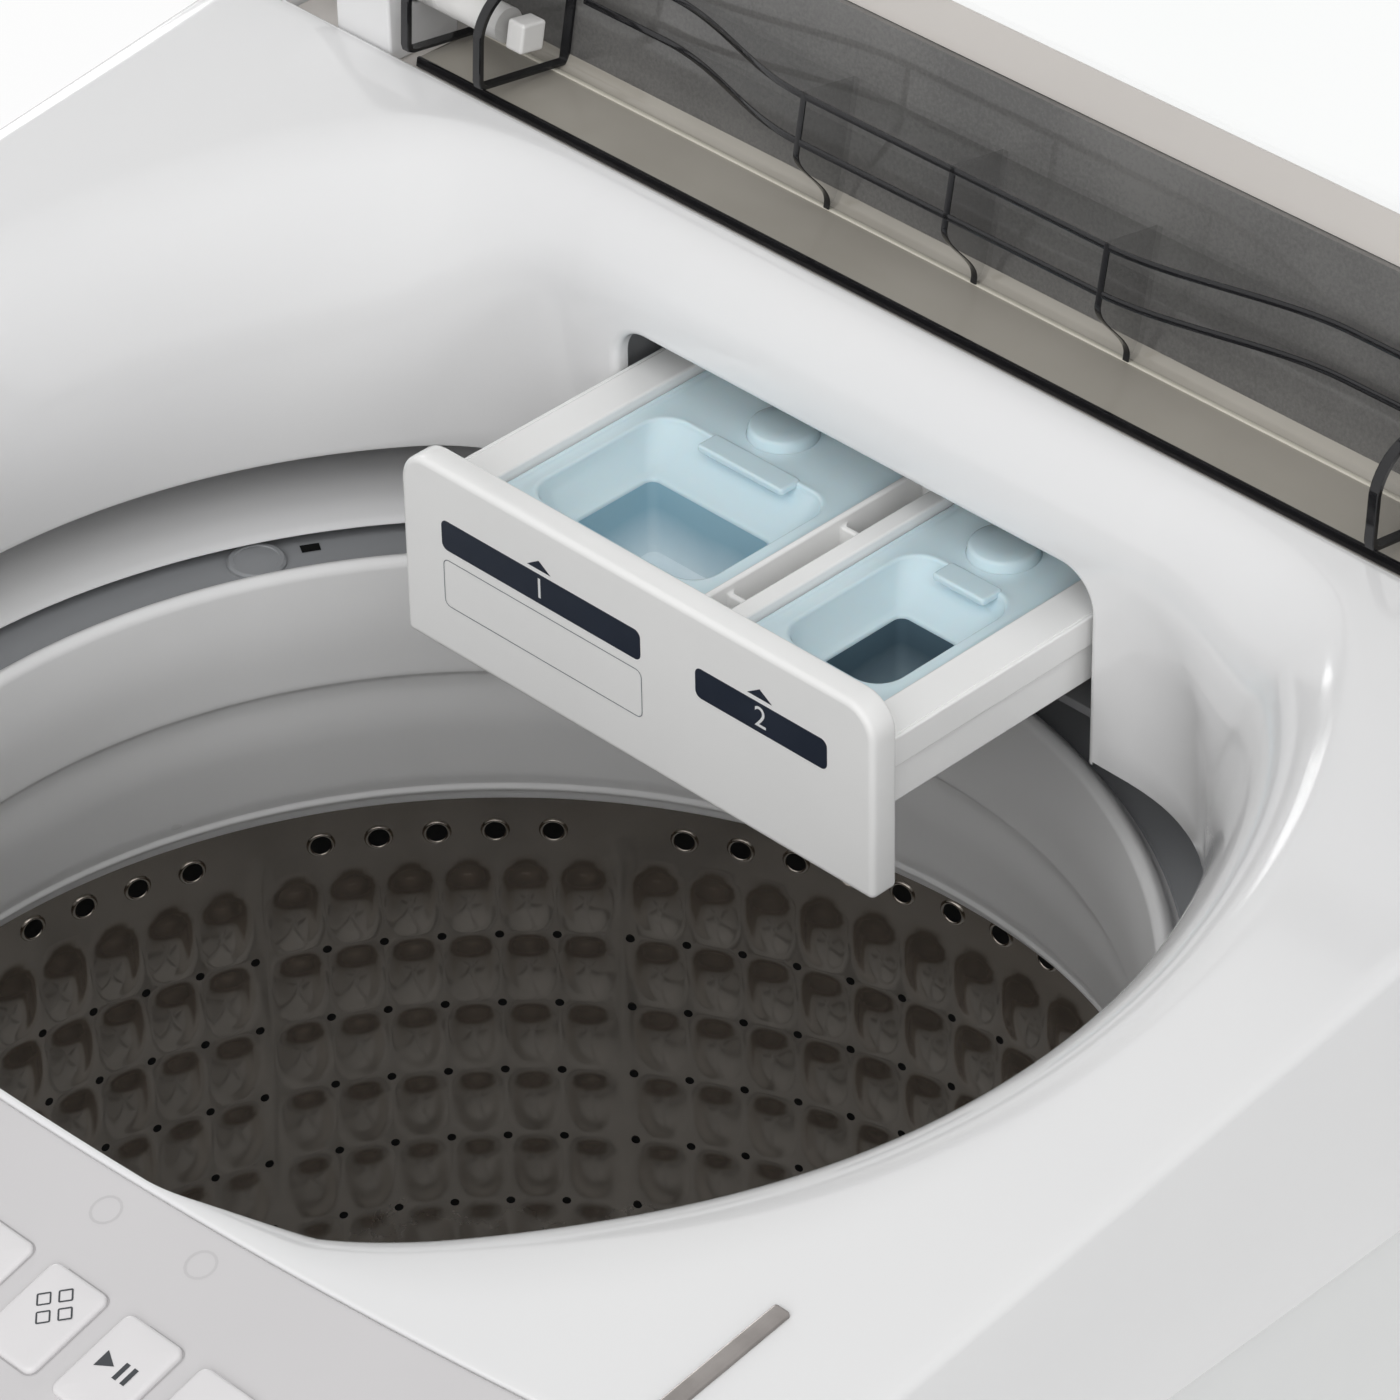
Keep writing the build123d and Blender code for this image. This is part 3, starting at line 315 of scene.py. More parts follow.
small_at, large_at = round_drum(0, CELLS_B), round_drum(1, CELLS_B - 1)
small = wall_rings(small_at, ROW_TOP - ROW_H * np.arange(1, ROWS), SMALL_HOLE, 10)
skin("drum_small_holes", list(small), hole_painted_shadow, "drum_body")
skin("drum_large_holes", list(wall_rings(large_at, [LARGE_Z], LARGE_HOLE, 20)), hole_painted_shadow, "drum_body")
skin("drum_hole_lips", list(wall_rings(large_at, [LARGE_Z], HOLE_LIP, 20)), lip_steel, "drum_body",
     sharp=80)

# Balance ring: two grey polypropylene mouldings welded round brine, snapped into the drum's mouth. A weld line
# runs round inside, the rim is rolled and a plug closes the filling hole.
# The ring is satin and nearly white, so it shades softly; flange and plug take a painted shade of mid grey.
RING = [(236.7, 748), (236.7, 834), (228, 842), (192.4, 843.4), (190.6, 848.6), (187.8, 850.4), (185.2, 848.4),
        (182.8, 830), (183.9, 811), (184.2, 809.6), (186.2, 807.6), (187.3, 803), (188.2, 790), (194.6, 764),
        (196.6, 759.4), (196.2, 757.4), (197.6, 755.4), (199.4, 755.8), (202, 749)]
RING_R = [2, 6, 5, 2, 1.5, 1.6, 3, 12, 1, 0.5, 1.2, 3, 12, 4, 0.6, 0.8, 0.8, 0.8, 2]
ring_plastic = surfaced("moulded light grey polypropylene", "#efefef", "#e9e9e9", 0.3, grain=1.0, relief=0.008)
ring = skin("balance_ring_moulding", [lathe(rounded(RING, RING_R, 7), 320)], ring_plastic, "drum_body",
            sharp=50, closed=True)
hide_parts("balance_ring")
# Painted shade: a thin grey sheet on the flange and the grey plug stand in for the shadow under the tub's lip.
flange_painted_shade = surfaced("mid grey polypropylene darkened as painted shade", "#a9abae", "#a1a3a6", 0.34, grain=1.0, relief=0.01)
FLANGE_SHADE = [(226.5, 841.9), (226.5, 842.7), (194.2, 844.0), (193.6, 843.2)]
skin("balance_ring_flange_shade", [lathe(rounded(FLANGE_SHADE, 0.2, 3), 320)], flange_painted_shade, "drum_body", closed=True)
PLUG = [(8.8, 842.8), (8.8, 844.8), (8.1, 845.4), (6.9, 845.5), (6.6, 845.2), (0, 845.6)]
PLUG_TURN, PLUG_R = np.radians(153.9), 203.0
plug_at = np.array([PLUG_R * np.cos(PLUG_TURN), PLUG_R * np.sin(PLUG_TURN), 0])
skin("balance_ring_plug", [lathe(PLUG, 40) + plug_at], flange_painted_shade, "drum_body")
# The vent is a dark slit laid on the flange's slope, a painted shadow in place of its opening.
VENT_TURN, VENT_R, VENT_Z, FLANGE_FALL = (148.4, 149.2, 150.0), (208.0, 206.0, 204.0), 843.75, 0.04
turn, along = np.meshgrid(np.radians(VENT_TURN), VENT_R, indexing="ij")
vent = np.stack([along * np.cos(turn), along * np.sin(turn), VENT_Z - FLANGE_FALL * (along - VENT_R[1])], axis=-1)
skin("balance_ring_vent", [vent], hole_painted_shadow, "drum_body")

# Drum base and pulsator: a moulded floor with a raised hub, and a dished disc with six wings screwed on the wash
# shaft, a snapped cap over its screw. Both are polypropylene.
# The disc is a satin pale blue grey, the floor a neutral grey that the steel round it mirrors.
disc_plastic = surfaced("moulded pale blue grey polypropylene", "#d8dee2", "#ced4d8", 0.34, grain=1.0, relief=0.01)
floor_plastic = surfaced("moulded light grey polypropylene floor", "#d3d6d7", "#cacdce", 0.36, grain=1.0,
                         relief=0.012)
dress(floor_plastic, "drum_base")
dress(disc_plastic, "pulsator", "pulsator_cap")

# Top cover: one glossy ABS moulding. A bowl with a flat back and front runs down to the drum's mouth, its flare
# rolls out into sloping shoulders, and the rear has a slot for the drawer and a pocket behind the crest.
# The polished tool leaves a clear gloss, and slow waves in the wall bend its reflections a little.
BOWL_R, BOWL_Z = 197.0, 881.0
BACK_Y, FRONT_KEEP, CREST_Y = 147.5, 1.0, 166.9
FLARE, ROLL_REAR, ROLL_FRONT, ROLL_FROM, ROLL_OVER = 42.0, 78.0, 18.0, 75.0, 210.0
CONIC = 0.7071
HALF_W, HALF_D = 270.0, 282.0
EDGE_R, CORNER_R = 3.0, 26.0
IN_W, IN_D = HALF_W - EDGE_R, HALF_D - EDGE_R
HOLE_HALF, HOLE_TOP, HOLE_R = 92.3, 943.0, 13.5
SHOULDER_Z, SHOULDER_RISE = 950.9, 0.136
CREASE_Y, BOW_R = -180.0, 1600.0
PANEL_SLOPE, PANEL_STEP = np.radians(16), 0.35


def shoulder(y):
    """Height of the sloping shoulders: it climbs 0.136 mm for each mm to the rear."""
    return SHOULDER_Z + SHOULDER_RISE * y


def ridge(x):
    """Place of the crease between shoulders and control panel: a shallow bow, x squared over twice its radius."""
    return CREASE_Y + x ** 2 / (2 * BOW_R)


def panel_height(x, y):
    """Height of the control panel: 16 degrees down to the front from the bowed crease, a small step lower."""
    return shoulder(ridge(x)) - PANEL_STEP + np.tan(PANEL_SLOPE) * (y - ridge(x))


def smooth(t):
    """The S-curve 3t^2 - 2t^3 from 0 to 1."""
    t = np.clip(t, 0, 1)
    return 3 * t ** 2 - 2 * t ** 3


def arc(x, y, r, first, last, n):
    """Points on a circle and their outward directions, from one angle to another in degrees."""
    t = np.radians(np.linspace(first, last, n))
    out = np.stack([np.cos(t), np.sin(t)], axis=-1)
    return np.array([x, y]) + r * out, out


def flat(x0, x1, y, side, n):
    """Points on a straight edge along x with one outward direction."""
    x = np.linspace(x0, x1, n)
    return np.stack([x, y + 0 * x], axis=-1), np.stack([0 * x, side + 0 * x], axis=-1)


def bowl_columns(foot, out, start_z, back=False):
    """Profile of the bowl over each foot point: a wall up from the foot, a conic that rolls out by the flare's
    width, and a straight run over the shoulder to its edge. The flare is as wide as crest and crease let it be: the
    powers of -2.5 of the three widths add up. The conic starts 78 mm under the shoulder at the rear and 18 mm under
    it in front, along an S-curve, but not below the bowl's foot and always above the drawer's slot."""
    with np.errstate(divide="ignore", invalid="ignore"):
        to_crest = np.where(out[:, 1] > 0.02, (CREST_Y - foot[:, 1]) / out[:, 1], 1e4)
        to_crease = np.full(len(foot), 20.0)
        for _ in range(30):
            hit_x = np.clip(foot[:, 0] + to_crease * out[:, 0], -IN_W, IN_W)
            aim = np.where(out[:, 1] < -0.02, (ridge(hit_x) - foot[:, 1]) / out[:, 1], 1e4)
            to_crease = np.clip(0.5 * to_crease + 0.5 * aim, 0.5, 400)
        to_side = np.where(np.abs(out[:, 0]) > 0.02, (IN_W - np.abs(foot[:, 0])) / np.abs(out[:, 0]), 1e4)
    wide = (FLARE ** -2.5 + to_crest ** -2.5 + to_crease ** -2.5) ** -0.4
    edge_reach = np.minimum(np.minimum(to_crest, to_crease), to_side)
    edge = foot + out * edge_reach[:, None]
    if not back:
        for corner in ((IN_W, CREST_Y), (-IN_W, CREST_Y), (IN_W, ridge(IN_W)), (-IN_W, ridge(IN_W))):
            edge[np.argmin(np.hypot(edge[:, 0] - corner[0], edge[:, 1] - corner[1]))] = corner
    top = foot + out * wide[:, None]
    knee_z, top_z = shoulder(foot[:, 1]), shoulder(top[:, 1])
    roll = ROLL_REAR - (ROLL_REAR - ROLL_FRONT) * smooth((ROLL_FROM - foot[:, 1]) / ROLL_OVER)
    roll = np.minimum(roll, (knee_z - BOWL_Z - 3) * (wide / FLARE) ** 1.35)
    roll = np.minimum(roll, knee_z - HOLE_TOP - 0.3 + 260 * (1 - np.clip(out[:, 1], 0, 1)) ** 0.75)
    t = np.linspace(0, 1, 7)[None, :]
    wall_z = start_z[:, None] + (knee_z - roll - start_z)[:, None] * t
    wall_d = 0 * wall_z
    t = np.linspace(0, 1, 26)[None, 1:]
    weight = (1 - t) ** 2 + 2 * CONIC * t * (1 - t) + t ** 2
    conic_d = t ** 2 * wide[:, None] / weight
    conic_z = ((1 - t) ** 2 * (knee_z - roll)[:, None] + 2 * CONIC * t * (1 - t) * knee_z[:, None]
               + t ** 2 * top_z[:, None]) / weight
    d, z = np.hstack([wall_d, conic_d]), np.hstack([wall_z, conic_z])
    lip_d, lip_z = np.array([3.2, 3.2, 2.4, 0.9, 0.25]), np.array([3.0, 0.8, 0.0, 0.0, 0.25])
    if not back:
        fade = np.clip(np.minimum(np.arange(len(foot)), np.arange(len(foot))[::-1]) / 9, 0, 1)
        d = np.hstack([lip_d * fade[:, None], d])
        z = np.hstack([BOWL_Z + 1 + (lip_z - 1) * fade[:, None], z])
    near = foot[:, None] + out[:, None] * d[..., None]
    near = np.concatenate([near, z[..., None]], axis=-1)
    t = np.linspace(0, 1, 10)[None, 1:, None]
    run = top[:, None] + (edge - top)[:, None] * t
    run = np.concatenate([run, shoulder(run[..., 1:2])], axis=-1)
    drop = np.array([[0.45, -0.12], [0.75, -0.5], [0.85, -2.5]])
    fall = edge[:, None] + out[:, None] * drop[None, :, :1]
    fall = np.concatenate([fall, shoulder(edge[:, None, 1:2]) + drop[None, :, 1:]], axis=-1)
    return np.concatenate([near, run, fall], axis=1)


# The bowl's foot: flat back, rear corners, the drum's circle, front corners and the bow along the crease. A front
# corner touches circle and bow alike, and a few rounds settle where.
REAR_R, FRONT_R = 60.0, 30.0
cb_y = BACK_Y - REAR_R
cb_x = np.sqrt((BOWL_R - REAR_R) ** 2 - cb_y ** 2)
front_x = 84.0
for _ in range(20):
    lean = np.arctan(front_x / BOW_R)
    cf_y = ridge(front_x) + FRONT_KEEP + FRONT_R * np.cos(lean)
    cf_x = np.sqrt((BOWL_R - FRONT_R) ** 2 - cf_y ** 2)
    front_x = cf_x + FRONT_R * np.sin(lean)
bow_x = np.linspace(-front_x, front_x, 30)
bow_out = np.stack([bow_x, 0 * bow_x - BOW_R], axis=-1) / np.hypot(bow_x, BOW_R)[:, None]
bow = (np.stack([bow_x, ridge(bow_x) + FRONT_KEEP], axis=-1), bow_out)
lean = np.degrees(lean)
at_b, at_f = np.degrees(np.arctan2(cb_y, cb_x)), np.degrees(np.arctan2(-cf_y, cf_x))
runs = [flat(-HOLE_HALF, -cb_x, BACK_Y, 1, 6), arc(-cb_x, cb_y, REAR_R, 90, 180 - at_b, 26),
        arc(0, 0, BOWL_R, 180 - at_b, 180 + at_f, 110), arc(-cf_x, cf_y, FRONT_R, 180 + at_f, 270 - lean, 22),
        bow, arc(cf_x, cf_y, FRONT_R, 270 + lean, 360 - at_f, 22),
        arc(0, 0, BOWL_R, 360 - at_f, 360 + at_b, 110), arc(cb_x, cb_y, REAR_R, at_b, 90, 26),
        flat(cb_x, HOLE_HALF, BACK_Y, 1, 6)]
foot, out = np.vstack([run[0] for run in runs]), np.vstack([run[1] for run in runs])
bowl = bowl_columns(foot, out, np.full(len(foot), BOWL_Z + 1.0))[::-1]

foot, out = flat(-HOLE_HALF, HOLE_HALF, BACK_Y, 1, 91)
beyond = np.clip(np.abs(foot[:, 0]) - (HOLE_HALF - HOLE_R), 0, HOLE_R)
arch = HOLE_TOP - HOLE_R + np.sqrt(HOLE_R ** 2 - beyond ** 2)
over_slot = bowl_columns(foot, out, arch, back=True)


def slot_line(half, top, r):
    """Outline of the drawer slot in x and z: up the left side, over two rounded corners and down the right."""
    t = np.radians(np.linspace(180, 90, 14))
    left = np.stack([-half + r + r * np.cos(t), top - r + r * np.sin(t)], axis=-1)
    right = left[::-1] * np.array([-1, 1])
    return np.vstack([[(-half, BOWL_Z)], left, right, [(half, BOWL_Z)]])


SLOT_HALF, SLOT_TOP, SLOT_R, SLOT_EDGE, SLOT_DEEP = 89.8, 940.5, 11.0, 2.5, 5.0
swing = np.radians(np.linspace(0, 90, 8))
lip_e = np.concatenate([SLOT_EDGE * (1 - np.sin(swing)), [0.0]])
lip_y = np.concatenate([SLOT_EDGE * (1 - np.cos(swing)), [SLOT_DEEP]])
slot_rows = []
for e, y in zip(lip_e, lip_y):
    line = slot_line(SLOT_HALF + e, SLOT_TOP + e, SLOT_R + e)
    slot_rows.append(np.column_stack([line[:, 0], np.full(len(line), BACK_Y + y), line[:, 1]]))
slot_lip = np.stack(slot_rows, axis=1)[::-1]


def frame_line(half_x, y0, y1, r, n=14, straight=60):
    """A rounded rectangle, counter-clockwise and closed: four quarter circles, with points all along the straight
    sides between them."""
    t = np.radians(np.linspace(0, 90, n))
    first = r * np.stack([np.cos(t), np.sin(t)], axis=-1)
    second = r * np.stack([-np.sin(t), np.cos(t)], axis=-1)
    centres = [(half_x - r, y1 - r), (-half_x + r, y1 - r), (-half_x + r, y0 + r), (half_x - r, y0 + r)]
    bends = [np.array(c) + bend for c, bend in zip(centres, (first, second, -first, -second))]
    part = np.linspace(0, 1, straight + 2)[1:-1, None]
    line = []
    for bend, after in zip(bends, bends[1:] + bends[:1]):
        line += [bend, bend[-1] + (after[0] - bend[-1]) * part]
    line = np.vstack(line)
    return np.vstack([line, line[:1]])


def corner_limit(y, inset=EDGE_R):
    """Half width of the cover's outline at a depth: straight sides, and quarter circles of 26 mm at the corners."""
    beyond = np.clip(np.abs(y) - (HALF_D - CORNER_R), 0, CORNER_R - inset)
    return HALF_W - CORNER_R + np.sqrt((CORNER_R - inset) ** 2 - beyond ** 2)


def outline(inset):
    """The cover's outline, moved in by the inset."""
    return frame_line(HALF_W - inset, -HALF_D + inset, HALF_D - inset, CORNER_R - inset)


def cover_height(x, y):
    """Height of the cover's upper side at its edge: shoulders behind the crease, panel slope in front of it."""
    return np.where(y > ridge(x), shoulder(y), panel_height(x, y))


FOOT_EDGE = ((0.0, 873.4), (0.5, 872.6), (1.4, 872.3), (4.0, 872.3))
inner = frame_line(IN_W, -IN_D, IN_D, CORNER_R - EDGE_R)
rim_z = cover_height(inner[:, 0], inner[:, 1])
swing = np.radians(np.linspace(0, 90, 9))
band = [np.column_stack([outline(inset), rim_z - fall])
        for inset, fall in zip(EDGE_R * (1 - np.sin(swing)), EDGE_R * (1 - np.cos(swing)))]
band += [np.column_stack([outline(inset), np.full(len(inner), z)]) for inset, z in FOOT_EDGE]
band = np.stack(band, axis=1)[::-1]

POCKET_HALF, POCKET_Y0, POCKET_R, POCKET_EDGE, POCKET_FLOOR = 250.0, 169.0, 4.0, 2.0, 957.0
pocket = []
for out_by, fall in zip(POCKET_EDGE * (1 - np.sin(swing)), POCKET_EDGE * (1 - np.cos(swing))):
    line = frame_line(POCKET_HALF + out_by, POCKET_Y0 - out_by, IN_D - POCKET_EDGE + out_by, POCKET_R + out_by)
    pocket.append(np.column_stack([line, shoulder(line[:, 1]) - fall]))
pocket.append(np.column_stack([line, np.full(len(line), POCKET_FLOOR)]))
pocket = np.stack(pocket, axis=1)
strips = []
t, y = np.meshgrid(np.linspace(0, 1, 4), np.linspace(CREST_Y, IN_D, 60), indexing="ij")
x_out = corner_limit(y)
rim_r = POCKET_R + POCKET_EDGE
x_in = POCKET_HALF - POCKET_R + np.sqrt(rim_r ** 2 - np.clip(y - (IN_D - rim_r), 0, rim_r) ** 2)
for side in (-1, 1):
    x = x_in + (x_out - x_in) * t
    grid = np.stack([side * x, y, shoulder(y)], axis=-1)
    strips.append(grid if side > 0 else grid[::-1])

gloss_white = surfaced("glossy white ABS", "#eeeeee", "#eaeaeb", 0.12, drift=160, grain=6.0, relief=0.006,
                       Coat_Weight=0.3, Coat_Roughness=0.04)
cover = skin("top_cover_moulding", [bowl, over_slot, slot_lip, band, pocket, *strips], gloss_white, "cabinet_body",
             sharp=40)
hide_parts("top_cover")

# Rear deck: the shelf behind the crest that the hinge posts stand on, let into the cover's pocket.
# ABS moulded in a warm grey and screwed down from below; a fine grain takes away its gloss.
deck_warm = surfaced("moulded warm grey ABS", "#dcd7d2", "#d5d0cb", 0.38, grain=0.9, relief=0.015)
dress(deck_warm, "rear_deck")

# Control panel: the plate on the front slope, its rear edge bowed along the crease, with a display window in it and
# a circuit board behind. ABS under a printed film, snapped into the cover.
# The film is a matte grey white, the window dark and glossy, the board a plain green.
PLATE_HALF, PLATE_FRONT, PLATE_LONG, PLATE_BACK = 267.2, -278.6, 97.0, 1.0
FILM, EASE = 0.3, 1.1

# The plate is the slope between crease and front edge; its edges fall away on a quarter circle of 1.1 mm.
u = np.concatenate([[0, 0.3, 0.8, 1.4], np.linspace(3, 531.4, 140), [533.0, 533.6, 534.1, 534.4]]) - PLATE_HALF
v = np.concatenate([[0, 0.15, 0.45, 0.9, 1.6], np.linspace(4, 94, 40), [95.4, 96.0, 96.5, 96.8, PLATE_LONG]])
x, s = np.meshgrid(u, v / PLATE_LONG, indexing="ij")
rear = ridge(x) - PLATE_BACK
y = rear + (PLATE_FRONT - rear) * s
inset = np.minimum(np.minimum(PLATE_HALF - np.abs(x), rear - y), y - PLATE_FRONT)
fall = EASE - np.sqrt(np.clip(EASE ** 2 - np.clip(EASE - inset, 0, EASE) ** 2, 0, None))
x = x * corner_limit(y, 2.8) / PLATE_HALF
plate_grid = np.stack([x, y, panel_height(x, y) + FILM - fall], axis=-1)[:, ::-1]
panel_film = surfaced("matte grey white printed film", "#d3d1d2", "#cecccd", 0.36, drift=120, grain=0.7,
                      relief=0.012)
plate = skin("control_panel_plate", [plate_grid], panel_film, "cabinet_body", sharp=50)
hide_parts("control_panel")
board_green = surfaced("green solder mask on circuit board", "#2f6b45", "#2a6140", 0.4, drift=20)
dress(board_green, "control_board")
window_tint = surfaced("dark tinted acrylic", "#2c2e31", "#26282b", 0.12, drift=60, Coat_Weight=0.5)
dress(window_tint, "display_window")

# Keys: seven separate caps with a soft crown, each set in its own hole of the panel with a fine gap round it.
# ABS moulded on spring tongues, with a sign pad-printed on top.
# The caps are satin and whiter than the film; gap and ink stay matte.
PANEL_O = np.array([0, -176.0, shoulder(-176.0)])
PANEL_X, PANEL_Y = np.array([1.0, 0, 0]), np.array([0, np.cos(PANEL_SLOPE), np.sin(PANEL_SLOPE)])
PANEL_N = np.array([0, -np.sin(PANEL_SLOPE), np.cos(PANEL_SLOPE)])


def on_panel(points, middle, lift):
    """Flat points laid in the panel's plane round a middle point and lifted along its normal."""
    return middle + points[..., :1] * PANEL_X + points[..., 1:] * PANEL_Y + lift * PANEL_N


def loop(w, h, radii, n=8):
    """A rounded rectangle round the origin, counter-clockwise from its right side and closed. radii are those of the
    upper right, upper left, lower left and lower right corners."""
    t = np.radians(np.linspace(0, 90, n))
    parts = []
    for k, (sx, sy) in enumerate(((1, 1), (-1, 1), (-1, -1), (1, -1))):
        r = max(radii[k], 0.05)
        a = t + k * np.pi / 2
        parts.append(np.stack([sx * (w / 2 - r) + r * np.cos(a), sy * (h / 2 - r) + r * np.sin(a)], axis=-1))
    line = np.vstack(parts)
    return np.vstack([line, line[:1]])


def pillow(w, h, radii, levels, origin, ax, ay, az):
    """A closed cushion of rounded rectangles. Each level is (inset, height) along az; both ends run to a point in
    the middle, so the faces there close."""
    rows = [np.zeros((33, 2))]
    rows += [loop(w - 2 * i, h - 2 * i, [r - i for r in radii]) for i, _ in levels]
    rows.append(rows[0])
    lift = np.array([levels[0][1]] + [l for _, l in levels] + [levels[-1][1]])
    flat_points = np.stack(rows)
    return (np.asarray(origin, float) + flat_points[..., :1] * ax + flat_points[..., 1:] * ay
            + lift[:, None, None] * az)


def eased(thick, r_low, r_high, steps=5):
    """Levels of a plate whose lower and upper edges are rounded: insets and heights on two quarter circles."""
    t = np.radians(np.linspace(0, 90, steps))
    low = np.stack([r_low * (1 - np.sin(t)), r_low * (1 - np.cos(t))], axis=-1)
    high = np.stack([r_high * (1 - np.cos(t)), thick - r_high * (1 - np.sin(t))], axis=-1)
    first, last = np.array([[r_low + 0.3, 0.0]]), np.array([[r_high + 0.3, thick]])
    return np.vstack([first, low, high, last]).tolist()


def ring_patch(w, h, r, line):
    """A thin closed frame: one rounded rectangle joined to the same one, smaller by the line's width."""
    return np.stack([loop(w - 2 * line, h - 2 * line, [r - line] * 4, 5), loop(w, h, [r] * 4, 5)])


def patch(x0, x1, y0, y1):
    """A flat rectangle between two places across and two along."""
    return np.array([[[x0, y0], [x0, y1]], [[x1, y0], [x1, y1]]])


key_white = surfaced("satin white ABS key", "#e6e4e5", "#e1dfe0", 0.22, drift=30, grain=0.9, relief=0.006)
gap_shadow = surfaced("shadow in the gap round a key", "#b5b3b4", "#adabac", 0.8, drift=10)
sign_ink = surfaced("dark grey pad printing ink", "#3a3d41", "#34373b", 0.5, drift=10)
KEY_PITCH, KEY_LAST, KEY_BACK = 26.65, 144.4, -44.2
KEY_W, KEY_H, KEY_R, SIGN_LIFT, GAP_LIFT = 20.0, 27.0, 2.6, 1.93, 0.34
KEY_LEVELS = [(0, -3.0), (0, 0.5), (0.06, 0.85), (0.25, 1.2), (0.6, 1.45), (1.0, 1.58), (1.4, 1.63), (4.0, 1.78),
              (7.0, 1.86)]
for number in range(1, 8):
    key = "key_%d" % number
    key_x = KEY_LAST - KEY_PITCH * (7 - number)
    key_o = PANEL_O + key_x * PANEL_X + KEY_BACK * PANEL_Y
    crown = pillow(KEY_W, KEY_H, [KEY_R] * 4, KEY_LEVELS, key_o, PANEL_X, PANEL_Y, PANEL_N)
    cap = skin(key + "_cap", [crown], key_white, key + "_body", sharp=50, closed=True)
    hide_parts(key)
    gap = np.stack([loop(20.1, 27.1, [2.7] * 4), loop(20.9, 27.9, [3.0] * 4)])
    seat = panel_height(key_x, key_o[1]) + GAP_LIFT - key_o[2]
    skin(key + "_gap", [on_panel(gap, key_o, seat)], gap_shadow, "cabinet_body")
    if number == 5:
        turn = 0.7071 * np.array([[1, 1], [-1, 1]])
        marks = [(ring_patch(3.7, 3.7, 0.5, 0.45) + np.array(at)) @ turn + np.array([0.8, 3.6])
                 for at in ((-2.7, 2.7), (2.7, 2.7), (-2.7, -2.7), (2.7, -2.7))]
    elif number == 6:
        wedge = np.array([[[-5.2, -2.6], [-5.2, 2.6]], [[-0.6, 0], [-0.6, 0]]])
        marks = [wedge, patch(1.2, 2.6, -2.6, 2.6), patch(4.0, 5.4, -2.6, 2.6)]
    elif number == 7:
        t = np.radians(np.linspace(125, 415, 36))
        circle = np.stack([np.stack([r * np.cos(t), r * np.sin(t)], axis=-1) for r in (3.3, 4.1)])
        marks = [circle, patch(-0.4, 0.4, 0.6, 5.0)]
    else:
        marks = [patch(-4.0, 4.0, -0.4, 0.4)]
    skin(key + "_sign", [on_panel(mark, key_o, SIGN_LIFT) for mark in marks], sign_ink, key + "_body")

# Indicator rings: two circles over the lamps behind the panel, screen-printed on its film.
# The ink is only a little darker than the film, so they show as faint outlines.
RING_LIFT = 0.36
ring_print = surfaced("faint grey screen printing ink", "#cac8c9", "#c6c4c5", 0.4, drift=10)
for name, ring_x, ring_y in (("indicator_1", 79.9, -188.6), ("indicator_2", 111.4, -186.4)):
    circle = ring_patch(8.4, 8.4, 4.2, 0.7) + np.array([ring_x, ring_y])
    height = panel_height(circle[..., 0], circle[..., 1]) + RING_LIFT
    skin(name, [np.concatenate([circle, height[..., None]], axis=-1)], ring_print, "cabinet_body")

# Trim bar: a plain bright strip on the right shoulder, held by two pegs.
# ABS plated with satin chrome, which gives soft dark and light reflections along it.
chrome = surfaced("satin chrome on ABS", "#9d9895", "#8f8a87", 0.3, drift=8, Metallic=1.0)
bar_n = np.array([0, -SHOULDER_RISE, 1]) / np.hypot(1, SHOULDER_RISE)
bar_y = np.array([0, 1, SHOULDER_RISE]) / np.hypot(1, SHOULDER_RISE)
bar_o = np.array([231.0, -140.9, shoulder(-140.9)])
bar_grid = pillow(5, 58, [1.0] * 4, eased(1.6, 0.2, 0.8), bar_o, PANEL_X, bar_y, bar_n)
trim = skin("trim_strip", [bar_grid], chrome, "cabinet_body", closed=True)
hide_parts("trim_bar")

# Drawer: a tray with its front, which slides in a housing behind the bowl's rear wall; two inserts lie in it, and
# bars, arrows and digits are printed on the front. White ABS, and see-through polypropylene for the inserts.
# The housing is painted a darker grey as painted shade, so that the slot looks deep; tray and front are a satin
# white.
X, Y, Z = np.eye(3)
# Painted shade: the housing's grey is darkened to stand in for the shade deep in the slot.
housing_painted_shade = surfaced("grey ABS darkened as painted shade", "#97989a", "#8f9092", 0.4, grain=0.9, relief=0.015)
CRISP, WALL, ROOF, RUNNER = [0.5] * 4, eased(3, 0.3, 0.3), eased(4, 0.3, 0.3), eased(3, 0.2, 0.2)
housing = [pillow(194, 106, CRISP, WALL, (0, 221, 876), X, Y, Z),
           pillow(194, 122, CRISP, ROOF, (0, 213, 949), X, Y, Z),
           pillow(194, 77, CRISP, WALL, (0, 271, 914.5), X, Z, Y)]
for side in (-1, 1):
    housing.append(pillow(122, 72, CRISP, WALL, (side * 94, 213, 917), Y, Z, side * X))
    housing.append(pillow(3.3, 116, [0.3] * 4, RUNNER, (side * 92.85, 214, 902.7), X, Y, Z))
box = skin("drawer_housing_box", housing, housing_painted_shade, "cabinet_body", closed=True)
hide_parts("drawer_housing")

drawer_white = surfaced("satin white ABS", "#f7f7f6", "#f3f3f2", 0.24, drift=60, grain=1.0, relief=0.008)
front_grid = pillow(179.2, 61, [10, 10, 2, 2], eased(9, 1.2, 1.8), (0, 74, 909.5), X, Z, -Y)
front = skin("drawer_front_plate", [front_grid], drawer_white, "drawer_body", closed=True)
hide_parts("drawer_front")


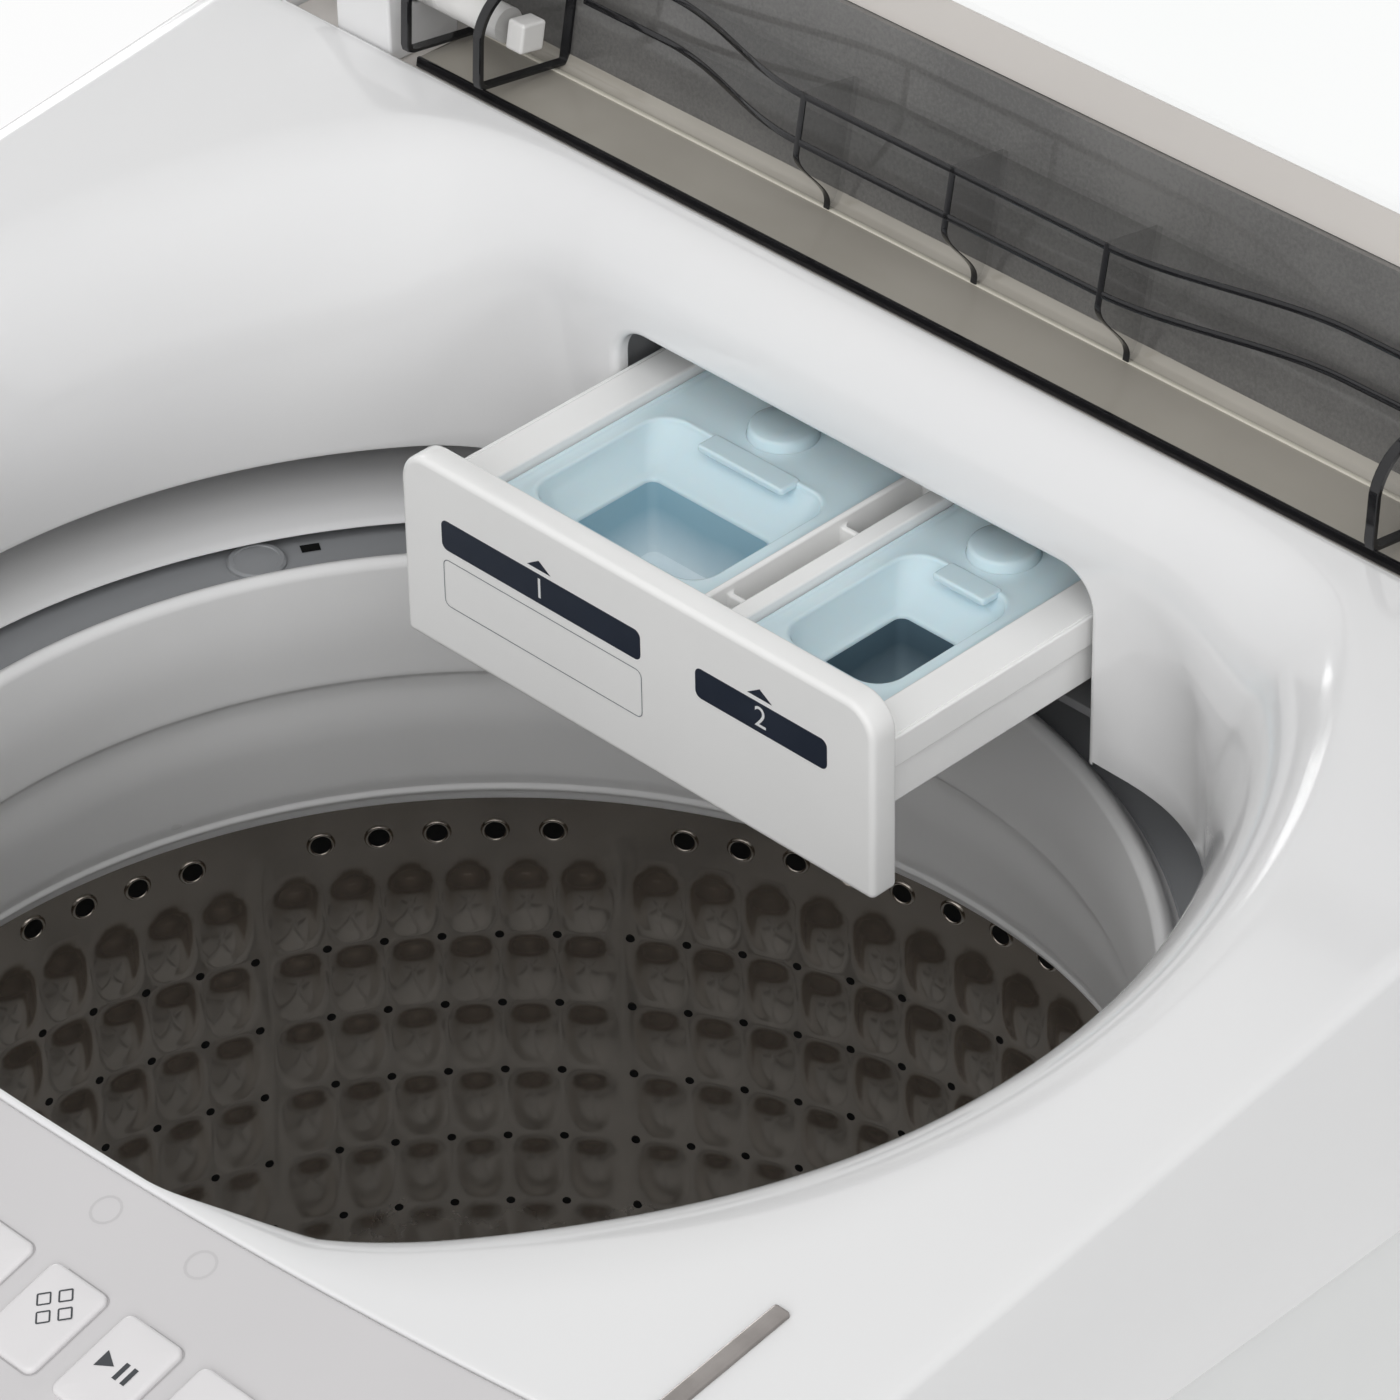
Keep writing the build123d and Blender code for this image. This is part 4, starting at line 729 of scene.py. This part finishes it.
def softened(node, name, material, body, width, steps=2):
    """A copy of a CAD node, its triangles merged back into flat faces and its edges rounded by `width` mm."""
    mesh = nodes[node].data.copy()
    mesh.name = name
    shell = bmesh.new()
    shell.from_mesh(mesh)
    bmesh.ops.remove_doubles(shell, verts=shell.verts, dist=5e-6)
    bmesh.ops.dissolve_limit(shell, angle_limit=np.radians(0.6), verts=shell.verts, edges=shell.edges)
    shell.to_mesh(mesh)
    shell.free()
    mesh.shade_smooth()
    mesh.set_sharp_from_angle(angle=np.radians(30))
    piece = placed(name, mesh, material, body)
    bevel = piece.modifiers.new("rounded edges", "BEVEL")
    bevel.width, bevel.segments, bevel.limit_method = width / 1000, steps, "ANGLE"
    bevel.angle_limit, bevel.harden_normals = np.radians(35), True
    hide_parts(node)


for side, hand in ((-1, "left"), (1, "right")):
    rail = pillow(103, 9.6, [0.6] * 4, eased(1.3, 0.1, 0.5), (side * 86.5, 126, 921.4), -side * Y, Z, side * X)
    skin("drawer_rail_" + hand, [rail], drawer_white, "drawer_body", closed=True)
softened("drawer_tray", "drawer_tray_moulding", drawer_white, "drawer_body", 0.8)

# The inserts are milky, with light inside them; their chutes are painted darker blue towards the edge as painted
# shade.
insert_blue, tree, shader, place = finish("pale blue see-through polypropylene", Roughness=0.14, IOR=1.49,
                                          Transmission_Weight=0.12, Subsurface_Weight=0.3,
                                          Subsurface_Radius=(0.004, 0.006, 0.007))
cloud = add(tree, "TexNoise", {"Vector": place, "Scale": 1000 / 45, "Detail": 2.0})
ramp = add(tree, "ValToRGB", {"Fac": cloud.outputs["Fac"]}, stops=((0, "#dbf1fb"), (1, "#e3f6fd")))
tree.links.new(ramp.outputs["Color"], shader.inputs["Base Color"])
CHUTE_FLOOR, CHUTE_EDGE = 888.0, 912.0


def shaded_chute_finish(name, lit_floor_tone, shaded_edge_tone):
    """Chute lining in tinted polypropylene, with painted shade that darkens it from floor to edge, and a little
    noise.
    """
    material, tree, shader, place = finish(name, Roughness=0.2, IOR=1.49)
    height = add(tree, "SeparateXYZ", {"Vector": place}).outputs["Z"]
    rise = add(tree, "MapRange", {"Value": height, "From Min": CHUTE_FLOOR / 1000, "From Max": CHUTE_EDGE / 1000})
    cloud = add(tree, "TexNoise", {"Vector": place, "Scale": 1000 / 14, "Detail": 3.0})
    soft = add(tree, "Math", {0: cloud.outputs["Fac"], 1: 0.16, 2: rise.outputs["Result"]}, operation="MULTIPLY_ADD")
    ramp = add(tree, "ValToRGB", {"Fac": soft.outputs["Value"]}, stops=((0.05, lit_floor_tone), (0.75, shaded_edge_tone)))
    tree.links.new(ramp.outputs["Color"], shader.inputs["Base Color"])
    return material


# Painted shade: the softener's chute is set darker overall, and both chutes darken towards their edge.
chute_pale_shaded = shaded_chute_finish("pale blue chute with painted shade", "#eef8fc", "#9dbfcd")
chute_deep_shaded = shaded_chute_finish("blue grey chute with painted shade", "#b3c6cf", "#566b77")
INSERT_Y0, INSERT_Y1, MOUTH_IN, CAP_Y = 76.9, 175.1, 14.0, 160.1
LINING = ((-0.4, 911.8), (-0.9, 908.0), (-1.4, 898.0), (-2.6, 889.2), (-5.0, 888.4))


def nested(steps, floor_z):
    """A shell through rounded rectangles, each (x, y, width, depth, corner, height), that closes at a point of the
    floor's height in the middle of the last one."""
    rows = [np.column_stack([loop(w, h, [r] * 4, 10) + np.array([x, y]), np.full(41, z)])
            for x, y, w, h, r, z in steps]
    rows.append(np.zeros((41, 3)) + np.array([*steps[-1][:2], floor_z]))
    return np.stack(rows)[::-1]


def dished(x0, x1, mouth_x, mouth_y, mouth, chute, ahead):
    """An insert as nested rounded rectangles from its rim inwards: a rim with a fine step, a flat, a mouth that
    rolls down a dish to a ledge, and a chute down to its floor, set `ahead` of the mouth's middle."""
    cx, cy, w, h = (x0 + x1) / 2, (INSERT_Y0 + INSERT_Y1) / 2, x1 - x0 - 1, INSERT_Y1 - INSERT_Y0
    steps = []
    for inset, z in ((0, 921.4), (0, 923.0), (0.5, 923.5), (2.6, 923.6), (3.4, 923.2), (4.2, 922.8)):
        steps.append((cx, cy, w - inset, h - inset, 2, z))
    for grow, z in ((5, 922.8), (2.6, 922.85), (1.4, 922.95), (0.5, 922.7), (0, 922.0), (-0.5, 921.0)):
        steps.append((mouth_x, mouth_y, mouth[0] + grow, mouth[1] + grow, 9, z))
    for part, z in ((0.2, 918.4), (0.4, 916.2), (0.6, 914.4), (0.72, 913.5)):
        steps.append((mouth_x, mouth_y - ahead * part, mouth[0] - 0.5 + (chute[0] + 1 - mouth[0]) * part,
                      mouth[1] - 0.5 + (chute[1] + 1 - mouth[1]) * part, 9 - 6 * part, z))
    for grow, z in ((3.4, 912.9), (1.4, 912.6), (0.6, 912.3), (0.1, 911.6), (-0.2, 910.0), (-0.6, 900.0),
                    (-1.0, 890.0), (-2.5, 887.8)):
        steps.append((mouth_x, mouth_y - ahead, chute[0] + grow, chute[1] + grow, 3.0, z))
    return nested(steps, 887.4)


def domed(x, y):
    """A low round cap: a wall, a soft shoulder and a slightly crowned top."""
    crown = [(10.6, 922.6), (10.1, 923.4), (10.0, 925.0), (9.6, 925.8), (8.8, 926.2), (5, 926.4), (0, 926.5)]
    return lathe(crown, 40) + np.array([x, y, 0])


for node, x0, x1, mouth_x, mouth, chute, ahead, cap_x, inside in (
        ("powder_insert", -74.1, 6, -34.6, (66, 54), (47, 34), 4.5, -36, chute_pale_shaded),
        ("softener_insert", 22, 74.1, 48, (38, 54), (22, 37), 5.5, 47.5, chute_deep_shaded)):
    mouth_y = INSERT_Y0 + MOUTH_IN + mouth[1] / 2
    dish = dished(x0, x1, mouth_x, mouth_y, mouth, chute, ahead)
    sheet = skin(node + "_sheet", [dish, domed(cap_x, CAP_Y)], insert_blue, "drawer_body", sharp=55)
    lining = nested([(mouth_x, mouth_y - ahead, chute[0] + g, chute[1] + g, 2.9, z) for g, z in LINING], 888.2)
    skin(node + "_chute", [lining], inside, "drawer_body", sharp=50)
    tablet = pillow(mouth[0] * 0.5, 8.0, [1.2] * 4, eased(1.8, 0.1, 0.8), (mouth_x + 2, mouth_y + 25.0, 921.6),
                    X, Y, Z)
    skin(node + "_tablet", [tablet], insert_blue, "drawer_body", closed=True)
    wall = sheet.modifiers.new("wall", "SOLIDIFY")
    wall.thickness, wall.offset = 0.0015, -1.0
    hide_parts(node)

# Screen-printing inks lie flat and matte on the front.
label_ink = surfaced("navy screen printing ink", "#262d3a", "#222936", 0.4, drift=12)
plain_ink = surfaced("grey screen printing ink", "#7d8288", "#757a80", 0.45, drift=12)
digit_ink = surfaced("white screen printing ink", "#e9eaea", "#e2e3e3", 0.45, drift=12)
FACE_Y, PRINT, DIGIT_PRINT, DIGIT_H = 65.0, 0.08, 0.16, 9.5


def on_face(points):
    """Flat points, across and up, laid just in front of the drawer's face."""
    return np.stack([points[..., 0], np.full(points.shape[:-1], FACE_Y - PRINT), points[..., 1]], axis=-1)


for name, x0, x1, z0, z1 in (("powder_bar", -73.6, 3.7, 914.0, 923.8), ("softener_bar", 24.4, 73.0, 913.4, 923.1)):
    middle = ((x0 + x1) / 2, FACE_Y + 0.02, (z0 + z1) / 2)
    bar_grid = pillow(x1 - x0, z1 - z0, [2.2] * 4, [(0, 0), (0, 0.08), (0.05, 0.12)], middle, X, Z, -Y)
    skin(name, [bar_grid], label_ink, "drawer_body", closed=True)
box_line = ring_patch(77.4, 15.8, 2.2, 0.3) + np.array([-34.7, 903.0])
skin("powder_box_line", [on_face(box_line)], plain_ink, "drawer_body")
for name, x, z in (("powder_arrow", -35.0, 928.3), ("softener_arrow", 48.5, 927.6)):
    arrow = np.array([[[x + 4.6, z - 3], [x - 4.6, z - 3]], [[x, z], [x, z]]])
    skin(name, [on_face(arrow)], label_ink, "drawer_body")
for name, text, x, z in (("powder_digit", "1", -35.0, 918.9), ("softener_digit", "2", 48.7, 918.2)):
    curve = bpy.data.curves.new(name, "FONT")
    curve.body, curve.size, curve.align_x, curve.align_y = text, DIGIT_H / 1000, "CENTER", "CENTER"
    letters = bpy.data.objects.new(name, curve)
    bpy.context.scene.collection.objects.link(letters)
    bpy.context.view_layer.update()
    mesh = bpy.data.meshes.new_from_object(letters)
    bpy.data.objects.remove(letters)
    at = Matrix.Translation((x / 1000, (FACE_Y - DIGIT_PRINT) / 1000, z / 1000))
    mesh.transform(at @ Matrix.Rotation(np.pi / 2, 4, "X"))
    placed(name, mesh, digit_ink, "drawer_body")

# Lid: one smoked ABS moulding. A frosted band and a flange by the hinge carry two shelves with an S-shaped edge,
# three gussets and the hinge ears; the rest is a slim frame, with the glass bonded into it.
# The smoke is faint where it is thin and nearly black along cut edges; the sparked band is a dull speckled grey.
LID_O, LEAN = np.array([0, 203.5, 971.0]), np.radians(11)
LID_S, LID_D = np.array([0, np.sin(LEAN), np.cos(LEAN)]), np.array([0, np.cos(LEAN), -np.sin(LEAN)])


def on_lid(points):
    """Points given as across, depth and length in the lid's own frame, which leans back 11 degrees at the bend."""
    p = np.asarray(points, float)
    return LID_O + p[..., :1] * X + p[..., 1:2] * LID_D + p[..., 2:] * LID_S


def beam(sections, ease=0.35):
    """A closed bar through four-cornered sections: their corners are rounded and both ends run to the middle."""
    loops = [rounded(section, ease, 3) for section in sections]
    ends = [np.zeros_like(loops[0]) + np.mean(section, axis=0) for section in (sections[0], sections[-1])]
    return on_lid(np.stack([ends[0], *loops, ends[1]]))


def bar(x, d0, d1, s0, s1):
    """Four-cornered sections along x, between two depths and two lengths that may change along x."""
    d0, d1, s0, s1 = [np.broadcast_to(v, x.shape) for v in (d0, d1, s0, s1)]
    return np.stack([np.stack(c, -1) for c in ((x, d0, s0), (x, d1, s0), (x, d1, s1), (x, d0, s1))], axis=1)


def post(s, x0, x1, d0, d1):
    """Four-cornered sections along the lid's length, between two places across and two depths."""
    x0, x1, d0, d1 = [np.broadcast_to(v, s.shape) for v in (x0, x1, d0, d1)]
    return np.stack([np.stack(c, -1) for c in ((x0, d0, s), (x1, d0, s), (x1, d1, s), (x0, d1, s))], axis=1)


# The flange is painted pale, a painted light for the deck seen through it, and a pale bar on its bend is a painted
# highlight. Real sparks are finer than 0.3 mm; at 1.1 mm they show.
smoke_clear = surfaced("smoked clear ABS, polished", "#2f2e2d", "#2a2928", 0.06, drift=30, relief=0.0, Alpha=0.1,
                       IOR=1.52)
smoke_edge = surfaced("smoked ABS seen through its edge", "#17171a", "#121215", 0.1, drift=20, relief=0.002)
smoke_flange_painted_light = surfaced("smoked ABS flange painted pale with the deck's light", "#b6b1a7", "#ada89e", 0.16, drift=50, relief=0.004,
                        Alpha=0.82, Coat_Weight=0.4)
smoke_frost, tree, shader, place = finish("spark-textured smoked ABS", Coat_Weight=0.8, Coat_Roughness=0.05,
                                          Roughness=0.4)
speck = add(tree, "TexNoise", {"Vector": place, "Scale": 1000 / 1.1, "Detail": 3.0, "Roughness": 0.7})
cloud = add(tree, "TexNoise", {"Vector": place, "Scale": 1000 / 60, "Detail": 2.0})
both = add(tree, "Math", {0: speck.outputs["Fac"], 1: cloud.outputs["Fac"]}, operation="ADD")
half_sum = add(tree, "Math", {0: both.outputs["Value"], 1: 0.5}, operation="MULTIPLY")
ramp = add(tree, "ValToRGB", {"Fac": half_sum.outputs["Value"]}, stops=((0.38, "#565554"), (0.62, "#6b6a68")))
tree.links.new(ramp.outputs["Color"], shader.inputs["Base Color"])
bump = add(tree, "Bump", {"Height": speck.outputs["Fac"], "Strength": 0.5, "Distance": 0.00004})
tree.links.new(bump.outputs["Normal"], shader.inputs["Normal"])

LID_W, LID_END, LID_T, BEVEL, DRAWN_IN = 476.0, 385.0, 3.0, 0.4, 0.9985
GLASS_W, GLASS_H, GLASS_S = 444.0, 304.0, 208.0
outer = loop(LID_W, LID_END, [10] * 4)
hole = loop(GLASS_W, GLASS_H, [3] * 4) + np.array([0, GLASS_S - LID_END / 2])
inner = outer * DRAWN_IN
ring_rows = [np.column_stack([line[:, 0], np.full(33, depth), line[:, 1] + LID_END / 2]) for line, depth in
             ((outer, BEVEL), (inner, 0), (hole, 0), (hole, LID_T), (inner, LID_T), (outer, LID_T - BEVEL),
              (outer, BEVEL))]
band = skin("lid_band", [on_lid(np.stack(ring_rows))], smoke_frost, "lid_body", closed=True)
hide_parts("lid_frame")
run_x, run_s = np.linspace(-198, 198, 60), np.linspace(4, LID_END - 0.5, 30)
FLANGE_LINE = ((0.2, -3.9), (-26.9, -7.75), (-26.9, -5.28), (-5.5, -2.3), (-3.0, -1.6), (-1.2, -0.2), (-0.2, 2.5),
               (0.2, 2.6))
flange = np.stack([np.stack([run_x, d + 0 * run_x, l + 0 * run_x], axis=-1) for d, l in FLANGE_LINE], axis=1)
# Painted highlight: a pale bar along the lid's bend stands in for the gleam of its polished fillet.
bend_painted_highlight = surfaced("painted highlight on the bend of smoked ABS", "#dedacd", "#d5d1c4", 0.12, drift=60, relief=0.002)
bend_highlight_bar = beam(bar(run_x, -3.3, -4.9, -2.5, -1.5), 0.4)
skin("lid_bend_highlight", [bend_highlight_bar], bend_painted_highlight, "lid_body", closed=True)
skin("lid_flange", [beam(flange, 0.5)], smoke_flange_painted_light, "lid_body", closed=True)
walls = [beam(post(run_s, side * 235.5, side * 238, 0.2, -35.5 + (run_s - 15) * 0.0812)) for side in (-1, 1)]
walls.append(beam(bar(np.linspace(-237.8, 237.8, 40), 0.2, -6.0, LID_END - 2.5, LID_END)))
skin("lid_rim_walls", walls, smoke_frost, "lid_body", closed=True)
ribs, edges = [], [beam(bar(run_x, -26.7, -28.1, -8.1, -5.1))]

# Shelves and gussets stand out by a low edge plus a rise that fades along the S-curve.
SHELF_LEVELS, SHELF_LOW, SHELF_RISE, SHELF_FLAT, SHELF_RUN = (21.5, 35.2), 4.0, 17.5, 56.0, 70.0
LEG_LOW, LEG_RISE, LEG_RUN = 5.5, 16.0, 19.0
GUSSET_X, EAR_X = (-56.0, 0.0, 56.0), (-196.0, -166.0, 166.0, 196.0)
shelf_x = np.linspace(-158, 158, 120)
reach = SHELF_LOW + SHELF_RISE * (1 - smooth((np.abs(shelf_x) - SHELF_FLAT) / SHELF_RUN))
for level in SHELF_LEVELS:
    ribs.append(beam(bar(shelf_x, 0.2, -reach + 0.5, level, level + 2)))
    edges.append(beam(bar(shelf_x, -reach + 0.6, -reach, level - 0.05, level + 2.05), 0.3))
leg_s = np.linspace(-1.5, 37.2, 50)
leg = LEG_LOW + LEG_RISE * smooth(leg_s / LEG_RUN)
for x in GUSSET_X:
    ribs.append(beam(post(leg_s, x - 1, x + 1, 0.2, -leg + 0.5)))
    edges.append(beam(post(leg_s, x - 1.05, x + 1.05, -leg + 0.6, -leg), 0.3))
t = np.radians(np.linspace(90, 180, 16))
bend = np.stack([-22.8 + 15 * np.cos(t), 14.9 + 15 * np.sin(t)], axis=-1)
ear = np.vstack([[(0.2, 29.9)], bend, [(-35.6, -1.5), (0.2, -0.6)]])
ear = rounded(ear, [0.5] + [0.4] * 16 + [2.5, 0.5], 3)
heart = np.array([-17.0, 14.0])


def ear_plate(rows):
    """A plate with the ear's outline: each row is a place across, and the outline's size about its middle."""
    lines = [np.column_stack([np.full(len(ear), at), heart + (ear - heart) * size]) for at, size in rows]
    return on_lid(np.stack(lines))


for x in EAR_X:
    ribs.append(ear_plate([(x - 1.5, 0), (x - 1.5, 0.99), (x - 1.2, 1), (x + 1.2, 1), (x + 1.5, 0.99), (x + 1.5, 0)]))
    edges.append(ear_plate([(x - 1.6, 0.93), (x - 1.6, 0.995), (x - 1.3, 1.006), (x + 1.3, 1.006), (x + 1.6, 0.995),
                            (x + 1.6, 0.93), (x - 1.6, 0.93)]))
skin("lid_ribs", ribs, smoke_clear, "lid_body", closed=True)
skin("lid_edges", edges, smoke_edge, "lid_body", closed=True)

# The glass is clear with sharp reflections, and the beige print on its border is matte and opaque.
clear_glass, tree, shader, place = finish("clear tempered glass", Roughness=0.02, IOR=1.5, Transmission_Weight=1.0)
tint = add(tree, "TexNoise", {"Vector": place, "Scale": 1000 / 125})
ramp = add(tree, "ValToRGB", {"Fac": tint.outputs["Fac"]}, stops=((0, "#ffffff"), (1, "#fcfefd")))
tree.links.new(ramp.outputs["Color"], shader.inputs["Base Color"])
dress(clear_glass, "lid_glass")
border_print = surfaced("beige ceramic print on glass", "#d8d3ce", "#d1ccc7", 0.4, drift=90, grain=0.6,
                        relief=0.006)
dress(border_print, "glass_border")

# Hinges: two posts moulded on the deck, and two shafts through the lid's ears that turn with it; the left one ends
# in a square. Glossy ABS posts, white acetal shafts pressed into the ears.
# Acetal looks waxy beside the gloss of the posts.
hinge_white = surfaced("moulded white acetal", "#e4e3e1", "#dedddb", 0.28, drift=30)
PIN_Y, PIN_Z = 183.96, 989.98
PIN = ((224.8, 0), (224.8, 4.9), (224.3, 5.4), (168.4, 5.4), (168.2, 0))
spin = np.linspace(0, 2 * np.pi, 41)
for side, sign_x in (("left", -1), ("right", 1)):
    softened("hinge_post_" + side, "hinge_post_moulding_" + side, gloss_white, "cabinet_body", 1.2)
    rows = [np.column_stack([np.full(41, sign_x * at), PIN_Y + r * np.cos(spin), PIN_Z + r * np.sin(spin)])
            for at, r in PIN]
    grids = [np.stack(rows)]
    if side == "left":
        grids.append(pillow(9.2, 9.2, [1.0] * 4, eased(6.4, 0.5, 0.9), (-164.4, PIN_Y, PIN_Z), LID_D, LID_S, X))
    shaft = skin("hinge_pin_" + side, grids, hinge_white, "lid_body", closed=True)
    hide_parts("hinge_shaft_" + side)

# Floor, light and camera: a plain pale studio floor under an even white surround. A very large soft lamp over the
# front right, which mirrors don't show, gives the light, and a small one at the left rear a little sparkle.
# The floor's paint is matte and keeps the shadow; the camera stands as it did for the photograph.
floor_paint, tree, shader, place = finish("plain pale studio floor", Roughness=0.9)


def straight(tree):
    """1 for a ray that comes straight from the camera, a mirror or glass, and 0 for one that only carries light."""
    path = add(tree, "LightPath")
    eye_ray, mirror_ray = path.outputs["Is Camera Ray"], path.outputs["Is Glossy Ray"]
    glass_ray = path.outputs["Is Transmission Ray"]
    either = add(tree, "Math", {0: eye_ray, 1: mirror_ray}, operation="MAXIMUM")
    return add(tree, "Math", {0: either.outputs[0], 1: glass_ray}, operation="MAXIMUM").outputs[0]


share = add(tree, "Math", {0: straight(tree), 1: 0.95}, operation="MULTIPLY")
mottle = add(tree, "TexNoise", {"Vector": place, "Scale": 1.5})
ramp = add(tree, "ValToRGB", {"Fac": mottle.outputs["Fac"]}, stops=((0, "#f4f4f4"), (1, "#f8f8f8")))
tree.links.new(ramp.outputs["Color"], shader.inputs["Base Color"])
white = add(tree, "Emission", {"Color": (1, 1, 1, 1), "Strength": 1.0})
blend = add(tree, "MixShader", {0: share.outputs[0], 1: shader.outputs["BSDF"], 2: white.outputs["Emission"]})
tree.links.new(blend.outputs["Shader"], tree.nodes["Material Output"].inputs["Surface"])
FLOOR_HALF, FLOOR_Z = 20.0, -0.0005
floor_mesh = bpy.data.meshes.new("floor")
floor_mesh.from_pydata([(x * FLOOR_HALF, y * FLOOR_HALF, FLOOR_Z) for x, y in ((-1, -1), (1, -1), (1, 1), (-1, 1))],
                       [], [(0, 1, 2, 3)])
floor_mesh.materials.append(floor_paint)
floor = bpy.data.objects.new("floor", floor_mesh)
bpy.context.scene.collection.objects.link(floor)

world = bpy.data.worlds.new("studio")
bpy.context.scene.world = world
world.use_nodes = True
tree = world.node_tree
tree.nodes.clear()
level = add(tree, "MapRange", {"Value": straight(tree), "To Min": 0.41, "To Max": 1.0})
sky = add(tree, "Background", {"Color": (1, 1, 1, 1), "Strength": level.outputs["Result"]})
add(tree, "OutputWorld", {"Surface": sky.outputs["Background"]})


def lamp(name, at, aim, size, power):
    """A round soft lamp at a point, looking along the line to its aim."""
    light = bpy.data.lights.new(name, "AREA")
    light.shape, light.size, light.energy = "DISK", size, power
    thing = bpy.data.objects.new(name, light)
    bpy.context.scene.collection.objects.link(thing)
    back = np.array(at, float) - np.array(aim, float)
    back /= np.linalg.norm(back)
    side = np.cross([0, 0, 1.0], back)
    side /= np.linalg.norm(side)
    thing.matrix_world = Matrix([[*side], [*np.cross(back, side)], [*back]]).transposed().to_4x4()
    thing.location = at
    return thing


lamp("key_lamp", (-1.83, 0.72, 1.86), (0, 0, 0.9), 0.5, 4)
lamp("front_lamp", (1.2, -1.95, 2.75), (0, 0, 0.85), 4.5, 79).visible_glossy = False

# Lens, axes and place of the camera come from a fit to the straight edges and the circles in the photograph.
camera = bpy.data.cameras.new("camera")
camera.lens, camera.sensor_width, camera.sensor_height, camera.sensor_fit = 171.03, 36.0, 36.0, "HORIZONTAL"
camera.clip_end = 50
eye = bpy.data.objects.new("camera", camera)
bpy.context.scene.collection.objects.link(eye)
right, up, back = (0.70719, 0.70686, -0.01535), (-0.40861, 0.42633, 0.80702), (0.57699, -0.56444, 0.59032)
eye.matrix_world = Matrix([right, up, back]).transposed().to_4x4()
eye.location = (1.0436, -0.9304, 1.9538)
bpy.context.scene.camera = eye
bpy.context.scene.view_settings.view_transform = "Standard"
